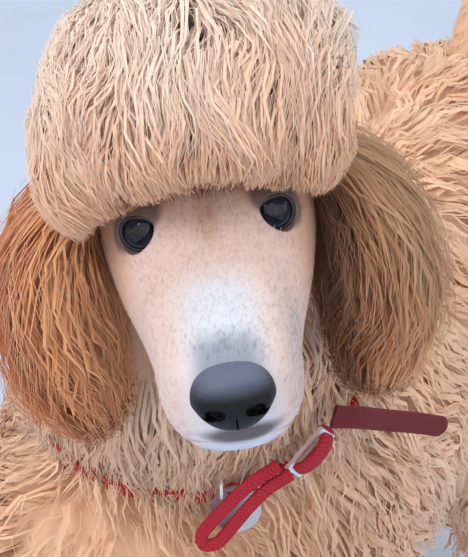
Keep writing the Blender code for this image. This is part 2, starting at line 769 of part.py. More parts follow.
def sight_block():
    """What lies in front of the eyes, in head space: the fringe stays above it."""
    rise = FAR * math.tan(math.radians(SIGHT_ANGLE))
    front = SIGHT_FROM - FAR
    bm = bmesh.new()
    ends = []
    for x in (-FAR, 0, FAR):
        top = FACE_RIDGE - FACE_FALL * abs(x)
        outline = ((SIGHT_FROM, top), (front, top + rise), (front, top - FAR), (SIGHT_FROM, top - FAR))
        ends.append([bm.verts.new((x, y, z)) for y, z in outline])
    for near, far in zip(ends, ends[1:]):
        for i in range(4):
            j = (i + 1) % 4
            bm.faces.new((near[i], near[j], far[j], far[i]))
    bm.faces.new(ends[0])
    bm.faces.new(ends[2])
    return bm


def clear_of_face(point):
    return point.y > FACE_BACK or point.z > FACE_RIDGE - FACE_FALL * abs(point.x)


def topknot_core():
    """The topknot's rows brought half way down to the skull."""
    skull = smooth_run(HEAD, 60)
    rows = []
    for row in TOPKNOT:
        y, z, wide, high, _ = min(skull, key=lambda station: abs(station[0] - row[1]))
        bare = (0, min(row[1], y + 0.01), z, wide, high)
        rows.append(tuple(b + (r - b) * CORE_SHARE for r, b in zip(row, bare)))
    return tube(rows, 14, 7)


def make_topknot(finish):
    core = topknot_core()
    outside = [tube(TOPKNOT, 20, 10)]
    sizes = (FAR, TOPKNOT_SPACING, clear_of_face, "topknot")
    hair = clumps_on([core], outside, *sizes, first=(CROWN,), hang=SWEPT_BACK)
    topknot = object_of("topknot", core, None, finish)
    fuse(topknot, hair)
    topknot.matrix_world = HEAD_MATRIX
    cutters = [
        object_of("sight_line", sight_block(), HEAD_MATRIX),
        object_of("skull", head_skin(CUT), HEAD_MATRIX),
        object_of("nape", nape(CUT), HEAD_MATRIX),
        face_block(),
        half_space(flipped(NECK_TOP), -GAP),
    ]
    for _, side in SIDES:
        cutters.append(object_of("ear_seat", ear_form(side, EAR_CUT), HEAD_MATRIX))
        lid = ball((0, 0, 0), [EYE_RADIUS + LID + CUT] * 3)
        cutters.append(object_of("brow", lid, HEAD_MATRIX @ eye_matrix(side)))
    join_pieces(topknot, cutters, "DIFFERENCE")
    return topknot


def neck_form(grow=0.0):
    return tube(NECK, 16, 7, grow)


def on_neck(point):
    return beyond(point, NECK_BASE) and not beyond(point, NECK_TOP)


def make_neck(finish):
    core = neck_form(NECK_COAT * CORE_SHARE)
    rests = (SLIDE_AT, TAG_AT)
    coat = clumps_on([core], [neck_form(NECK_COAT)], NECK_COAT, NECK_SPACING, on_neck, "neck", rests)
    neck = object_of("neck", core, None, finish)
    fuse(neck, coat)
    cutters = [half_space(NECK_TOP, 0), half_space(flipped(NECK_BASE), -GAP), *collar_seats()]
    for _, side in SIDES:
        cutters.append(object_of("ear_seat", ear_form(side, EAR_CUT), HEAD_MATRIX))
    join_pieces(neck, cutters, "DIFFERENCE")
    return neck


def thigh_wedge(side, gap):
    """The space under the sloping cut that parts a thigh from the rump."""
    inner, outer = THIGH_INSIDE * side, FAR * side
    top = THIGH_CUT_HEIGHT + gap
    outline = ((inner, 0), (outer, 0), (outer, top + THIGH_CUT_SLOPE * FAR), (inner, top))
    return prism(outline, THIGH_FRONT - gap, THIGH_FRONT + 2 * FAR)


def elbow_block(side, gap):
    """The space of a foreleg below the plane that parts it from the torso."""
    inner, outer = sorted(((ELBOW_INSIDE - gap) * side, FAR * side))
    reach = ELBOW_REACH + gap
    return block((inner, -reach, 0), (outer, reach, ELBOW_HEIGHT + gap))


def leg_form(stations, side, grow=0.0):
    return tube(mirrored(stations, side), 10, len(stations), grow, caps=LEG_CAP)


def muscle(form, side, share):
    """A shoulder or haunch out to the tips of its coat, or drawn in to a share of it."""
    (x, y, z), radii = form
    return ball((x * side, y, z), [r - BODY_COAT * (1 - share) for r in radii])


def torso_forms(share):
    forms = [tube(TORSO, 16, 11, BODY_COAT * share, 2.2), neck_form(NECK_COAT * share)]
    for _, side in SIDES:
        forms += [muscle(SHOULDER, side, share), muscle(HAUNCH, side, share)]
        forms.append(leg_form(FORELEG, side, LEG_COAT * share))
    return forms


def in_thigh(point):
    return point.y > THIGH_FRONT and point.z < THIGH_CUT_HEIGHT + THIGH_CUT_SLOPE * abs(point.x)


def in_foreleg(point):
    return abs(point.x) > ELBOW_INSIDE and abs(point.y) < ELBOW_REACH and point.z < ELBOW_HEIGHT


def on_torso(point):
    return not (in_thigh(point) or in_foreleg(point) or beyond(point, NECK_BASE))


def make_torso(finish):
    forms = torso_forms(CORE_SHARE)
    coat = clumps_on(forms, torso_forms(1), BODY_COAT, BODY_SPACING, on_torso, "torso")
    torso = object_of("torso", forms[0], None, finish)
    fuse(torso, [object_of("form", form) for form in forms[1:]] + coat)
    cutters = [half_space(NECK_BASE, 0), object_of("tail_seat", tail_form(CUT))]
    for _, side in SIDES:
        cutters.append(thigh_wedge(side, GAP))
        cutters.append(elbow_block(side, GAP))
    join_pieces(torso, cutters, "DIFFERENCE")
    return torso


def level(height, way):
    """A level plane that faces up or down."""
    return Vector((0, 0, height)), Vector((0, 0, way))


def coated_leg(name, stations, side, keep, finish, haunch=False):
    """A leg's core with its clumps, before it is parted from its neighbours."""
    forms, outside = ([leg_form(stations, side, LEG_COAT * share)] for share in (CORE_SHARE, 1))
    if haunch:
        forms.append(muscle(HAUNCH, side, CORE_SHARE))
        outside.append(muscle(HAUNCH, side, 1))
    coat = clumps_on(forms, outside, LEG_COAT, LEG_SPACING, keep, name)
    leg = object_of(name, forms[0], None, finish)
    fuse(leg, [object_of("form", form) for form in forms[1:]] + coat)
    return leg


def make_foreleg(name, side, finish):
    leg = coated_leg(name, FORELEG, side, lambda p: ANKLE_CLEAR < p.z < ELBOW_HEIGHT, finish)
    join_pieces(leg, [elbow_block(side, 0)], "INTERSECT")
    join_pieces(leg, [ankle(FOREPAW_AT, side, CUT)], "DIFFERENCE")
    return leg


def make_thigh(name, side, finish):
    thigh = coated_leg(name, HINDLEG, side, lambda p: in_thigh(p) and p.z > STIFLE_HEIGHT, finish, True)
    join_pieces(thigh, [thigh_wedge(side, 0)], "INTERSECT")
    join_pieces(thigh, [half_space(level(STIFLE_HEIGHT, -1), 0)], "DIFFERENCE")
    return thigh


def make_hindleg(name, side, finish):
    leg = coated_leg(name, HINDLEG, side, lambda p: ANKLE_CLEAR < p.z < STIFLE_HEIGHT, finish)
    join_pieces(leg, [half_space(level(STIFLE_HEIGHT, 1), -GAP), ankle(HINDPAW_AT, side, CUT)], "DIFFERENCE")
    return leg


def placed(rows, x, y):
    """The rows moved over a place on the floor."""
    return tuple((row[0] + x, row[1] + y, *row[2:]) for row in rows)


def ankle(at, side, grow=0.0):
    return object_of("ankle", tube(placed(PASTERN, at.x * side, at.y), 8, 3, grow, caps=PLAIN_CAP))


def claw_form(at, side, toe, grow=0.0):
    across, ahead = TOES[toe]
    return tube(placed(CLAW, at.x * side + across, at.y + ahead), 5, 3, grow, caps=PLAIN_CAP)


def make_paw(name, at, side, finish):
    """A shaved foot: four toes round a pad, flat on the floor."""
    x, y = at.x * side, at.y
    paw = object_of(name, ball((x, y, PAW_RISE), PAW_RADII), None, finish)
    added = [ankle(at, side)]
    for across, ahead in TOES:
        added.append(object_of("toe", ball((x + across, y + ahead, TOE_RISE), TOE_RADII)))
    fuse(paw, added, SLIVER / 2)
    cutters = [half_space(level(0, -1), 0)]
    for toe in range(len(TOES)):
        cutters.append(object_of("claw_seat", claw_form(at, side, toe, CUT)))
    join_pieces(paw, cutters, "DIFFERENCE")
    return paw


def tail_form(grow=0.0):
    return tube(TAIL, 10, 6, grow)


def make_tail(finish):
    return object_of("tail", tail_form(), None, finish)


def make_pompon(finish):
    core = ball(POMPON_CENTRE, [POMPON_RADIUS * POMPON_CORE] * 3)
    outside = [ball(POMPON_CENTRE, [POMPON_RADIUS] * 3, 3)]
    hair = (POMPON_RADIUS, POMPON_SPACING, everywhere, "tail_pompon")
    coat = clumps_on([core], outside, *hair, spread=POMPON_SPREAD)
    pompon = object_of("tail_pompon", core, None, finish)
    fuse(pompon, coat)
    join_pieces(pompon, [object_of("tail_seat", tail_form(CUT))], "DIFFERENCE")
    return pompon


def collar_band(inner, outer, width):
    """A band round the neck at the collar's height, between two depths over the bare neck."""
    run = smooth_run(NECK, 81)
    i = min(range(1, 80), key=lambda n: abs(run[n][2] - COLLAR_HEIGHT))
    centre = Vector(run[i][:3])
    along = (Vector(run[i + 1][:3]) - Vector(run[i - 1][:3])).normalized()
    wide = (Vector((1, 0, 0)) - along * along.x).normalized()
    deep = along.cross(wide)
    bm = bmesh.new()
    loops = []
    for grow, shift in ((inner, -1), (outer, -1), (outer, 1), (inner, 1)):
        ring = ring_of(centre, wide, deep, run[i][3] + grow, run[i][4] + grow, COLLAR_SIDES)
        loops.append([bm.verts.new(p + along * (shift * width / 2)) for p in ring])
    for low, high in zip(loops, loops[1:] + loops[:1]):
        for n in range(COLLAR_SIDES):
            m = (n + 1) % COLLAR_SIDES
            bm.faces.new((low[n], low[m], high[m], high[n]))
    return bm


def make_collar_strap(finish):
    inner = NECK_COAT * COLLAR_SHARE
    return object_of("collar_strap", collar_band(inner, inner + STRAP_THICKNESS, STRAP_WIDTH), None, finish)


def ribbon(path, facing, width, thickness, count):
    """A flat strap along the path, its broad side towards facing."""
    run = [Vector(p) for p in smooth_run(path, count)]
    rings = []
    for i, at in enumerate(run):
        along = (run[min(i + 1, count - 1)] - run[max(i - 1, 0)]).normalized()
        across = along.cross(facing).normalized() * (width / 2)
        out = across.cross(along).normalized() * (thickness / 2)
        rings.append([at - across - out, at + across - out, at + across + out, at - across + out])
    return skin_rings(rings, run[0], run[-1])


def make_collar_tail(finish):
    tail = ribbon(STRAP_TAIL, TAIL_FACING, STRAP_WIDTH, STRAP_THICKNESS, 10)
    return object_of("collar_tail", tail, None, finish)


def make_collar_loop(finish):
    loop = ribbon(LOOP, LOOP_FACING, LOOP_WIDTH, LOOP_THICKNESS, 26)
    return object_of("collar_loop", loop, None, finish)


def facing_matrix(at, out, along):
    """A frame at a point with its Z out of the coat and its X along a direction square to it."""
    z = out.normalized()
    x = (along - z * along.dot(z)).normalized()
    return Matrix.Translation(at) @ Matrix((x, z.cross(x), z)).transposed().to_4x4()


def box_form(low, high):
    bm = bmesh.new()
    bmesh.ops.create_cube(bm, size=1)
    bmesh.ops.scale(bm, vec=Vector(high) - Vector(low), verts=bm.verts)
    bmesh.ops.translate(bm, vec=(Vector(low) + Vector(high)) / 2, verts=bm.verts)
    return bm


def disc_form(radius, low, high, sides, at=(0, 0)):
    bm = bmesh.new()
    bmesh.ops.create_cone(
        bm, cap_ends=True, segments=sides, radius1=radius, radius2=radius, depth=high - low
    )
    bmesh.ops.translate(bm, vec=(*at, (low + high) / 2), verts=bm.verts)
    return bm


def make_collar_slide(finish):
    """A wire slide: a long frame with a bar along its middle."""
    matrix = facing_matrix(SLIDE_AT, SLIDE_OUT, SLIDE_ALONG)
    x, y, wire = SLIDE_LENGTH / 2, SLIDE_WIDTH / 2, SLIDE_WIRE
    slide = object_of("collar_slide", box_form((-x, -y, -wire / 2), (x, y, wire / 2)), matrix, finish)
    windows = []
    for low, high in ((-y + wire, -wire / 2), (wire / 2, y - wire)):
        windows.append(object_of("window", box_form((-x + wire, low, -wire), (x - wire, high, wire)), matrix))
    join_pieces(slide, windows, "DIFFERENCE")
    return slide


def tag_matrix():
    return facing_matrix(TAG_AT, TAG_FACING, TAG_HANG)


def make_tag(finish):
    """A blank round tag, hung from a hole near its edge."""
    half = TAG_THICKNESS / 2
    tag = object_of("tag", disc_form(TAG_RADIUS, -half, half, TAG_SIDES), tag_matrix(), finish)
    hole = disc_form(TAG_HOLE, -2 * half, 2 * half, 10, (TAG_RADIUS - 2 * TAG_HOLE, 0))
    join_pieces(tag, [object_of("hole", hole, tag_matrix())], "DIFFERENCE")
    return tag


def make_tag_ring(finish):
    bm = bmesh.new()
    turns = [2 * math.pi * i / RING_SIDES for i in range(RING_SIDES)]
    rings = []
    for turn in turns:
        out = Vector((math.cos(turn), math.sin(turn), 0))
        ring = []
        for i in range(WIRE_SIDES):
            angle = 2 * math.pi * i / WIRE_SIDES
            rise = Vector((0, 0, RING_WIRE * math.sin(angle)))
            ring.append(bm.verts.new(out * (RING_RADIUS + RING_WIRE * math.cos(angle)) + rise))
        rings.append(ring)
    for low, high in zip(rings, rings[1:] + rings[:1]):
        for i in range(WIRE_SIDES):
            j = (i + 1) % WIRE_SIDES
            bm.faces.new((low[i], low[j], high[j], high[i]))
    return object_of("tag_ring", bm, facing_matrix(RING_AT, RING_AXIS, Vector((0, 0, 1))), finish)


def collar_seats():
    """What the collar's pieces take out of the coat, each open to the outside."""
    inner = NECK_COAT * COLLAR_SHARE
    seats = [object_of("strap_seat", collar_band(inner - GAP, inner + OPEN, STRAP_WIDTH + CUT))]
    x, y = SLIDE_LENGTH / 2 + GAP, SLIDE_WIDTH / 2 + GAP
    slide = box_form((-x, -y, -SLIDE_WIRE / 2 - GAP), (x, y, OPEN))
    seats.append(object_of("slide_seat", slide, facing_matrix(SLIDE_AT, SLIDE_OUT, SLIDE_ALONG)))
    tag = disc_form(TAG_RADIUS + GAP, -TAG_THICKNESS / 2 - GAP, OPEN, TAG_SIDES)
    seats.append(object_of("tag_seat", tag, tag_matrix()))
    reach = RING_RADIUS + RING_WIRE + GAP
    ring = disc_form(reach, -reach, OPEN, 12)
    seats.append(object_of("ring_seat", ring, facing_matrix(RING_AT, TAG_FACING, TAG_HANG)))
    return seats


def settle(nodes):
    """Puts the middle of the whole model's box over the origin, by way of one empty."""
    bpy.context.view_layer.update()
    corners = [node.matrix_world @ v.co for node in nodes for v in node.data.vertices]
    low = [min(c[i] for c in corners) for i in range(3)]
    high = [max(c[i] for c in corners) for i in range(3)]
    poodle = bpy.data.objects.new("poodle", None)
    bpy.context.scene.collection.objects.link(poodle)
    poodle.location = (-(low[0] + high[0]) / 2, -(low[1] + high[1]) / 2, -low[2])
    for node in nodes:
        node.parent = poodle


def main():
    clear_scene()
    coat = finish_of("coat", (0.72, 0.50, 0.32), 0.9)
    ear_coat = finish_of("ear_coat", (0.50, 0.27, 0.12), 0.85)
    skin = finish_of("shaved_coat", (0.80, 0.66, 0.54), 0.8)
    dark = finish_of("nose_leather", (0.02, 0.02, 0.025), 0.4)
    eye = finish_of("eye", (0.012, 0.010, 0.012), 0.05)
    horn = finish_of("claw", (0.05, 0.04, 0.04), 0.5)
    webbing = finish_of("webbing", (0.50, 0.02, 0.04), 0.7)
    steel = finish_of("steel", (0.70, 0.70, 0.72), 0.25, 1.0)
    nodes = [make_head(skin), make_nose(dark), make_topknot(coat), make_neck(coat), make_torso(coat)]
    nodes += [make_tail(skin), make_pompon(coat)]
    nodes += [make_collar_strap(webbing), make_collar_tail(webbing), make_collar_loop(webbing)]
    nodes += [make_collar_slide(steel), make_tag_ring(steel), make_tag(steel)]
    for word, side in SIDES:
        nodes.append(make_eye(f"eye_{word}", side, eye))
        nodes.append(make_ear(f"ear_{word}", side, ear_coat))
        nodes.append(make_foreleg(f"foreleg_{word}", side, coat))
        nodes.append(make_thigh(f"thigh_{word}", side, coat))
        nodes.append(make_hindleg(f"hindleg_{word}", side, coat))
        for end, at in (("fore", FOREPAW_AT), ("hind", HINDPAW_AT)):
            nodes.append(make_paw(f"{end}paw_{word}", at, side, skin))
            for toe in range(len(TOES)):
                nodes.append(object_of(f"{end}claw_{word}_{toe + 1}", claw_form(at, side, toe), None, horn))
    for node in nodes:
        keep_largest(node)
    settle(nodes)


main()
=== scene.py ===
"""A young standard poodle as a life-size still model, its head turned up and to its left."""
import json
import math

import bmesh
import bpy
import numpy as np
from mathutils import Euler, Matrix, Vector
from mathutils.kdtree import KDTree


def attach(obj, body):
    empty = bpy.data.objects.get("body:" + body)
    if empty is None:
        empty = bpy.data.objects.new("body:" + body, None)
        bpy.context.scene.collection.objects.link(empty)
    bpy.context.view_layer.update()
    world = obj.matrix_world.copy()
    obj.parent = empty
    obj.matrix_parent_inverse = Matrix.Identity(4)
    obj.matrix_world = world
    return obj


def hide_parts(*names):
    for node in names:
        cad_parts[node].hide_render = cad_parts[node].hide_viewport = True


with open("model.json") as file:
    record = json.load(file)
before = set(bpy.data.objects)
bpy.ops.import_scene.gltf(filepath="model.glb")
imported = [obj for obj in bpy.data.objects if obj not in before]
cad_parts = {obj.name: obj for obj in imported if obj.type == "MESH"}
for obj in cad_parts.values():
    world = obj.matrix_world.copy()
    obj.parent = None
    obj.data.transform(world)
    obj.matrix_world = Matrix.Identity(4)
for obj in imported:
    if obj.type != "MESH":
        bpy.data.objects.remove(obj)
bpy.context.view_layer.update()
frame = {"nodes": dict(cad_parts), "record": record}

# The dog's driving dimensions, in metres
GAP = 0.0003
CORE_SHARE = 0.45
BODY_COAT, NECK_COAT, LEG_COAT = 0.042, 0.050, 0.032
POMPON_RADIUS, POMPON_CORE, POMPON_REACH = 0.068, 0.50, 0.058
EYE_SPACING, EYE_RADIUS, LID = 0.0556, 0.0112, 0.0022
NOSE_WIDTH = 0.034
PAW_LENGTH, PAW_WIDTH = 0.078, 0.052
STRAP_WIDTH, STRAP_THICKNESS = 0.0125, 0.0026
LOOP_WIDTH, LOOP_THICKNESS = 0.0065, 0.0036
SLIDE_LENGTH, SLIDE_WIDTH, SLIDE_WIRE = 0.0290, 0.0130, 0.0024
TAG_RADIUS, TAG_THICKNESS, TAG_HOLE = 0.0135, 0.0015, 0.0020
RING_RADIUS, RING_WIRE = 0.0055, 0.0008
# the last of these is the share of colour left in the valleys between ribs: painted shade
RIB_PITCH, RIB_SLANT, VALLEY_SHADE = 0.0024, 0.9, 0.45

# How the head is carried
HEAD_YAW, HEAD_PITCH, HEAD_ROLL = 34.5, -9.7, -6.8
HEAD_PIVOT = Vector((0.020, -0.055, 0.705))
PIVOT_IN_HEAD = Vector((0.0, 0.105, -0.020))

# The bare body as (x, y, z, half width, half depth)
TORSO = (
    (0, -0.118, 0.436, 0.066, 0.084),
    (0, -0.082, 0.438, 0.088, 0.110),
    (0, -0.035, 0.436, 0.098, 0.122),
    (0, 0.025, 0.434, 0.102, 0.124),
    (0, 0.085, 0.440, 0.100, 0.118),
    (0, 0.145, 0.450, 0.093, 0.106),
    (0, 0.205, 0.461, 0.086, 0.094),
    (0, 0.265, 0.466, 0.084, 0.088),
    (0, 0.325, 0.466, 0.082, 0.084),
    (0, 0.375, 0.464, 0.068, 0.072),
)
SHOULDER = ((0.078, -0.035, 0.430), (0.068, 0.088, 0.122))
HAUNCH = ((0.070, 0.298, 0.450), (0.070, 0.092, 0.100))
NECK = (
    (0.000, 0.005, 0.470, 0.078, 0.090),
    (0.002, -0.022, 0.545, 0.068, 0.078),
    (0.008, -0.042, 0.605, 0.058, 0.064),
    (0.016, -0.054, 0.655, 0.048, 0.052),
    (0.022, -0.060, 0.695, 0.034, 0.036),
)
FORELEG = (
    (0.078, 0.000, 0.400, 0.030, 0.040),
    (0.082, 0.006, 0.330, 0.031, 0.040),
    (0.082, 0.006, 0.270, 0.029, 0.033),
    (0.080, 0.000, 0.200, 0.025, 0.028),
    (0.078, -0.005, 0.135, 0.024, 0.026),
    (0.077, -0.010, 0.075, 0.021, 0.024),
)
HINDLEG = (
    (0.052, 0.300, 0.480, 0.046, 0.062),
    (0.068, 0.288, 0.430, 0.050, 0.074),
    (0.080, 0.270, 0.360, 0.044, 0.064),
    (0.086, 0.272, 0.290, 0.036, 0.048),
    (0.088, 0.303, 0.225, 0.029, 0.035),
    (0.087, 0.346, 0.178, 0.024, 0.028),
    (0.086, 0.368, 0.135, 0.023, 0.026),
    (0.085, 0.368, 0.075, 0.020, 0.022),
)
TAIL = (
    (0, 0.352, 0.515, 0.022, 0.022),
    (0, 0.398, 0.568, 0.019, 0.019),
    (0, 0.420, 0.628, 0.016, 0.016),
    (0, 0.430, 0.700, 0.013, 0.013),
)
POMPON_CENTRE = Vector((0, 0.434, 0.738))
FOREPAW_AT = Vector((0.077, -0.022, 0))
HINDPAW_AT = Vector((0.085, 0.356, 0))
NECK_BASE = (Vector((0.0, -0.020, 0.548)), Vector((0.02, -0.30, 0.95)))
NECK_TOP = (Vector((0.016, -0.052, 0.668)), Vector((0.05, -0.10, 1.0)))
ELBOW_HEIGHT, ELBOW_INSIDE, ELBOW_REACH = 0.288, 0.018, 0.10
STIFLE_HEIGHT = 0.238
ANKLE = 0.078
HEAD_BACK = 0.20
NAPE_FROM = 0.055
CHEST_BACK = -0.010
SOLE = 0.006
THIGH_FRONT, THIGH_CUT_HEIGHT, THIGH_CUT_SLOPE = 0.168, 0.362, 1.04

# The bare head as (y, middle z, half width, half height, squareness)
HEAD = (
    (-0.103, -0.0300, 0.0180, 0.0185, 2.3),
    (-0.096, -0.0312, 0.0240, 0.0242, 2.4),
    (-0.080, -0.0325, 0.0280, 0.0280, 2.5),
    (-0.055, -0.0315, 0.0315, 0.0285, 2.5),
    (-0.030, -0.0305, 0.0360, 0.0315, 2.4),
    (-0.010, -0.0280, 0.0410, 0.0360, 2.3),
    (0.010, -0.0250, 0.0455, 0.0420, 2.2),
    (0.035, -0.0190, 0.0490, 0.0475, 2.2),
    (0.060, -0.0160, 0.0500, 0.0500, 2.1),
    (0.085, -0.0120, 0.0480, 0.0460, 2.1),
    (0.108, -0.0080, 0.0400, 0.0370, 2.0),
    (0.122, -0.0060, 0.0250, 0.0230, 2.0),
)
# Swellings and hollows of the face as (x, y, z, reach, push), the same on both sides
FACE_FORMS = (
    (0.027, 0.004, 0.018, 0.014, 0.0035),
    (0.044, 0.026, -0.008, 0.020, 0.0025),
    (0.026, -0.022, -0.010, 0.016, -0.0022),
    (0.025, -0.082, -0.040, 0.016, 0.0015),
    (0.012, -0.060, 0.000, 0.012, -0.0008),
)
TOPKNOT = (
    (0, -0.016, 0.040, 0.050, 0.028),
    (0, 0.004, 0.048, 0.074, 0.048),
    (0, 0.040, 0.054, 0.084, 0.068),
    (0, 0.085, 0.050, 0.088, 0.076),
    (0, 0.125, 0.032, 0.084, 0.078),
    (0, 0.160, 0.004, 0.066, 0.064),
)
CROWN = Vector((0, 0.140, 0.085))
SKULL_MIDDLE = Vector((0, 0.060, -0.010))
HAIR_MIDDLE = (0, 0.055, 0.0)
BROW_MARGIN = 0.012
FACE_RIDGE, FACE_FALL, FACE_BACK = 0.018, 0.19, 0.066
FACE_DROOP, FACE_SIDE = 26, 0.038
# The topknot's hair hangs over the ears' tops in a lobe on each side, as (centre), (radii)
LOBES = (
    ((-0.052, 0.014, 0.024), (0.029, 0.037, 0.032)),
    ((0.046, 0.010, 0.028), (0.028, 0.034, 0.027)),
)
# The scissored round that the topknot's hair keeps within, as (centre), (radii)
ROUND = ((0.008, 0.050, 0.024), (0.090, 0.130, 0.088))
SIGHT_FROM, SIGHT_ANGLE, CORE_SIGHT_ANGLE = -0.006, 31, 48
EAR = (
    (0.036, 0.050, 0.012, 0.020, 0.010),
    (0.058, 0.048, 0.010, 0.034, 0.018),
    (0.076, 0.044, -0.014, 0.052, 0.028),
    (0.081, 0.038, -0.044, 0.062, 0.034),
    (0.077, 0.034, -0.076, 0.056, 0.034),
    (0.070, 0.030, -0.098, 0.038, 0.026),
)
EYE_CENTRE = Vector((EYE_SPACING / 2, 0.0075, 0.0))
EYE_TURN, EYE_RISE = 20, 6
EYE_OPENING = (0.0100, 0.0090, 0.0090)
LID_ANGLES, LID_CORNER = (49, 43, 46), 9
LID_LIFT, LID_WIDTH, LID_THICKNESS = 0.0006, 0.0015, 0.0010
NOSE_CENTRE = Vector((0, -0.1075, -0.0225))
NOSE_RADII = Vector((NOSE_WIDTH / 2, 0.0125, 0.0130))
NOSTRIL = ((0.0080, -0.0130, -0.0012), (0.0043, 0.0070, 0.0030))
NOSTRIL_SLIT = ((0.0120, -0.0100, -0.0034), (0.0046, 0.0052, 0.0014))
PHILTRUM = ((0.0, -0.0130, -0.0085), (0.0005, 0.0052, 0.0062))
LIP_FRONT, LIP_CORNER, LIP_DROP, LIP_SAG = -0.104, -0.030, 0.0150, 0.0022
LIP_CUT = (0.0013, 0.0011)
LIP_MIDDLE, LIP_SPREAD = (0.002, -0.106, -0.0405), (0.020, 0.014, 0.0058)
# A painted shadow on the topknot's front, as (centre), (spread)
KNOT_SHADE_AT, KNOT_SHADE_SPREAD = (-0.004, -0.020, 0.052), (0.050, 0.050, 0.022)
BROW_ABOVE_EYE, BROW_SPREAD = (0.0, -0.002, 0.0125), (0.017, 0.020, 0.008)
PAW_RADII, PAW_RISE = (PAW_WIDTH * 0.44, PAW_LENGTH * 0.36, 0.022), 0.019
TOES = ((-0.0175, -0.020), (-0.0062, -0.031), (0.0062, -0.031), (0.0175, -0.020))
TOE_RADII, TOE_RISE = (0.0076, 0.0165, 0.0135), 0.0115
PASTERN = ((0, -0.002, 0.020, 0.018, 0.018), (0, 0.006, 0.050, 0.016, 0.018), (0, 0.010, 0.070, 0.014, 0.016))

# The collar
COLLAR_HEIGHT, COLLAR_SHARE = 0.586, 0.82
SLIDE_AT = Vector((0.1065, -0.0905, 0.5780))
SLIDE_ALONG, SLIDE_OUT = Vector((0.356, 0.680, 0.640)), Vector((0.883, -0.469, 0.007))
STRAP_TAIL = (
    (0.1135, -0.0785, 0.5965),
    (0.1225, -0.0640, 0.5885),
    (0.1300, -0.0440, 0.5740),
    (0.1390, -0.0225, 0.5590),
    (0.1490, -0.0010, 0.5430),
)
TAIL_FACING = Vector((0.70, -0.60, 0.35))
LOOP = (
    (0.0985, -0.1105, 0.5810),
    (0.0912, -0.1215, 0.5762),
    (0.0835, -0.1290, 0.5665),
    (0.0715, -0.1375, 0.5460),
    (0.0692, -0.1405, 0.5400),
    (0.0715, -0.1410, 0.5350),
    (0.0765, -0.1375, 0.5355),
    (0.0795, -0.1345, 0.5395),
    (0.0905, -0.1270, 0.5610),
    (0.0975, -0.1185, 0.5710),
    (0.1045, -0.1075, 0.5750),
)
LOOP_FACING = Vector((0.40, -0.69, 0.60))
# The webbing where it bulges up through the slide, as (along the slide, out of it, across it)
SLIDE_BULGE = (
    (-0.0185, -0.0032, 0.0008),
    (-0.0150, -0.0032, 0.0008),
    (-0.0120, -0.0004, 0.0010),
    (-0.0080, 0.0030, 0.0014),
    (0.0000, 0.0044, 0.0018),
    (0.0080, 0.0034, 0.0014),
    (0.0122, 0.0004, 0.0010),
    (0.0150, -0.0030, 0.0008),
)
SLIDE_BULGE_WIDTH, SLIDE_BULGE_THICKNESS = 0.0100, 0.0034
TAG_AT = Vector((0.0800, -0.1225, 0.5500))
TAG_FACING, TAG_HANG = Vector((0.50, -0.75, 0.30)), Vector((-0.42, 0.05, 0.82))
RING_AT, RING_AXIS = Vector((0.0752, -0.1295, 0.5690)), Vector((0.866, 0.500, 0.0))

# The camera, from the eyes, in metres to the right, down and ahead
CAMERA_TURN, CAMERA_RISE = 30, 37
EYES_FROM_CAMERA = (-0.0116, -0.0241, 0.6196)
PICTURE_HEIGHT, FOCAL_PIXELS, SENSOR = 557, 1400, 36

SIDES = (("left", 1), ("right", -1))
DOWN = np.array((0.0, 0.0, -1.0))
SLIDE_WAYS = (SLIDE_ALONG.normalized(), SLIDE_OUT.normalized(), SLIDE_ALONG.cross(SLIDE_OUT).normalized())
SLIDE_WEBBING = tuple(
    tuple(SLIDE_AT + sum((way * step for way, step in zip(SLIDE_WAYS, row)), Vector())) for row in SLIDE_BULGE
)

# The left forepaw's flat is a mount of the part, and says where the dog stands in the frame
DOG = Matrix.Translation(Vector(frame["record"]["mounts"][0]["pos_m"]) - FOREPAW_AT)
HEAD_PLACE = (
    DOG
    @ Matrix.Translation(HEAD_PIVOT)
    @ Euler([math.radians(a) for a in (0, 0, HEAD_YAW)]).to_matrix().to_4x4()
    @ Euler([math.radians(a) for a in (HEAD_PITCH, 0, 0)]).to_matrix().to_4x4()
    @ Euler([math.radians(a) for a in (0, HEAD_ROLL, 0)]).to_matrix().to_4x4()
    @ Matrix.Translation(-PIVOT_IN_HEAD)
)


# Working with many points at once


def moved(points, matrix):
    turn = np.array(matrix.to_3x3())
    return points @ turn.T + np.array(matrix.translation)


def turned(ways, matrix):
    return ways @ np.array(matrix.to_3x3()).T


def unit(ways):
    return ways / np.maximum(np.linalg.norm(ways, axis=-1, keepdims=True), 1e-9)


def beyond(points, plane):
    return (points - np.array(plane[0])) @ np.array(plane[1].normalized()) > 0


def eased(low, high, value):
    """0 below low, 1 above high, and a smooth step between."""
    t = np.clip((value - low) / (high - low), 0, 1)
    return t * t * (3 - 2 * t)


def smooth_run(stations, count):
    """The stations resampled along a Catmull-Rom curve through them."""
    rows = [stations[0], *stations, stations[-1]]
    spans = len(stations) - 1
    run = []
    for i in range(count):
        at = i * spans / (count - 1)
        span = min(int(at), spans - 1)
        t = at - span
        a, b, c, d = rows[span : span + 4]
        run.append(
            tuple(
                0.5
                * (2 * q + (r - p) * t + (2 * p - 5 * q + 4 * r - s) * t * t + (3 * q - p - 3 * r + s) * t**3)
                for p, q, r, s in zip(a, b, c, d)
            )
        )
    return run


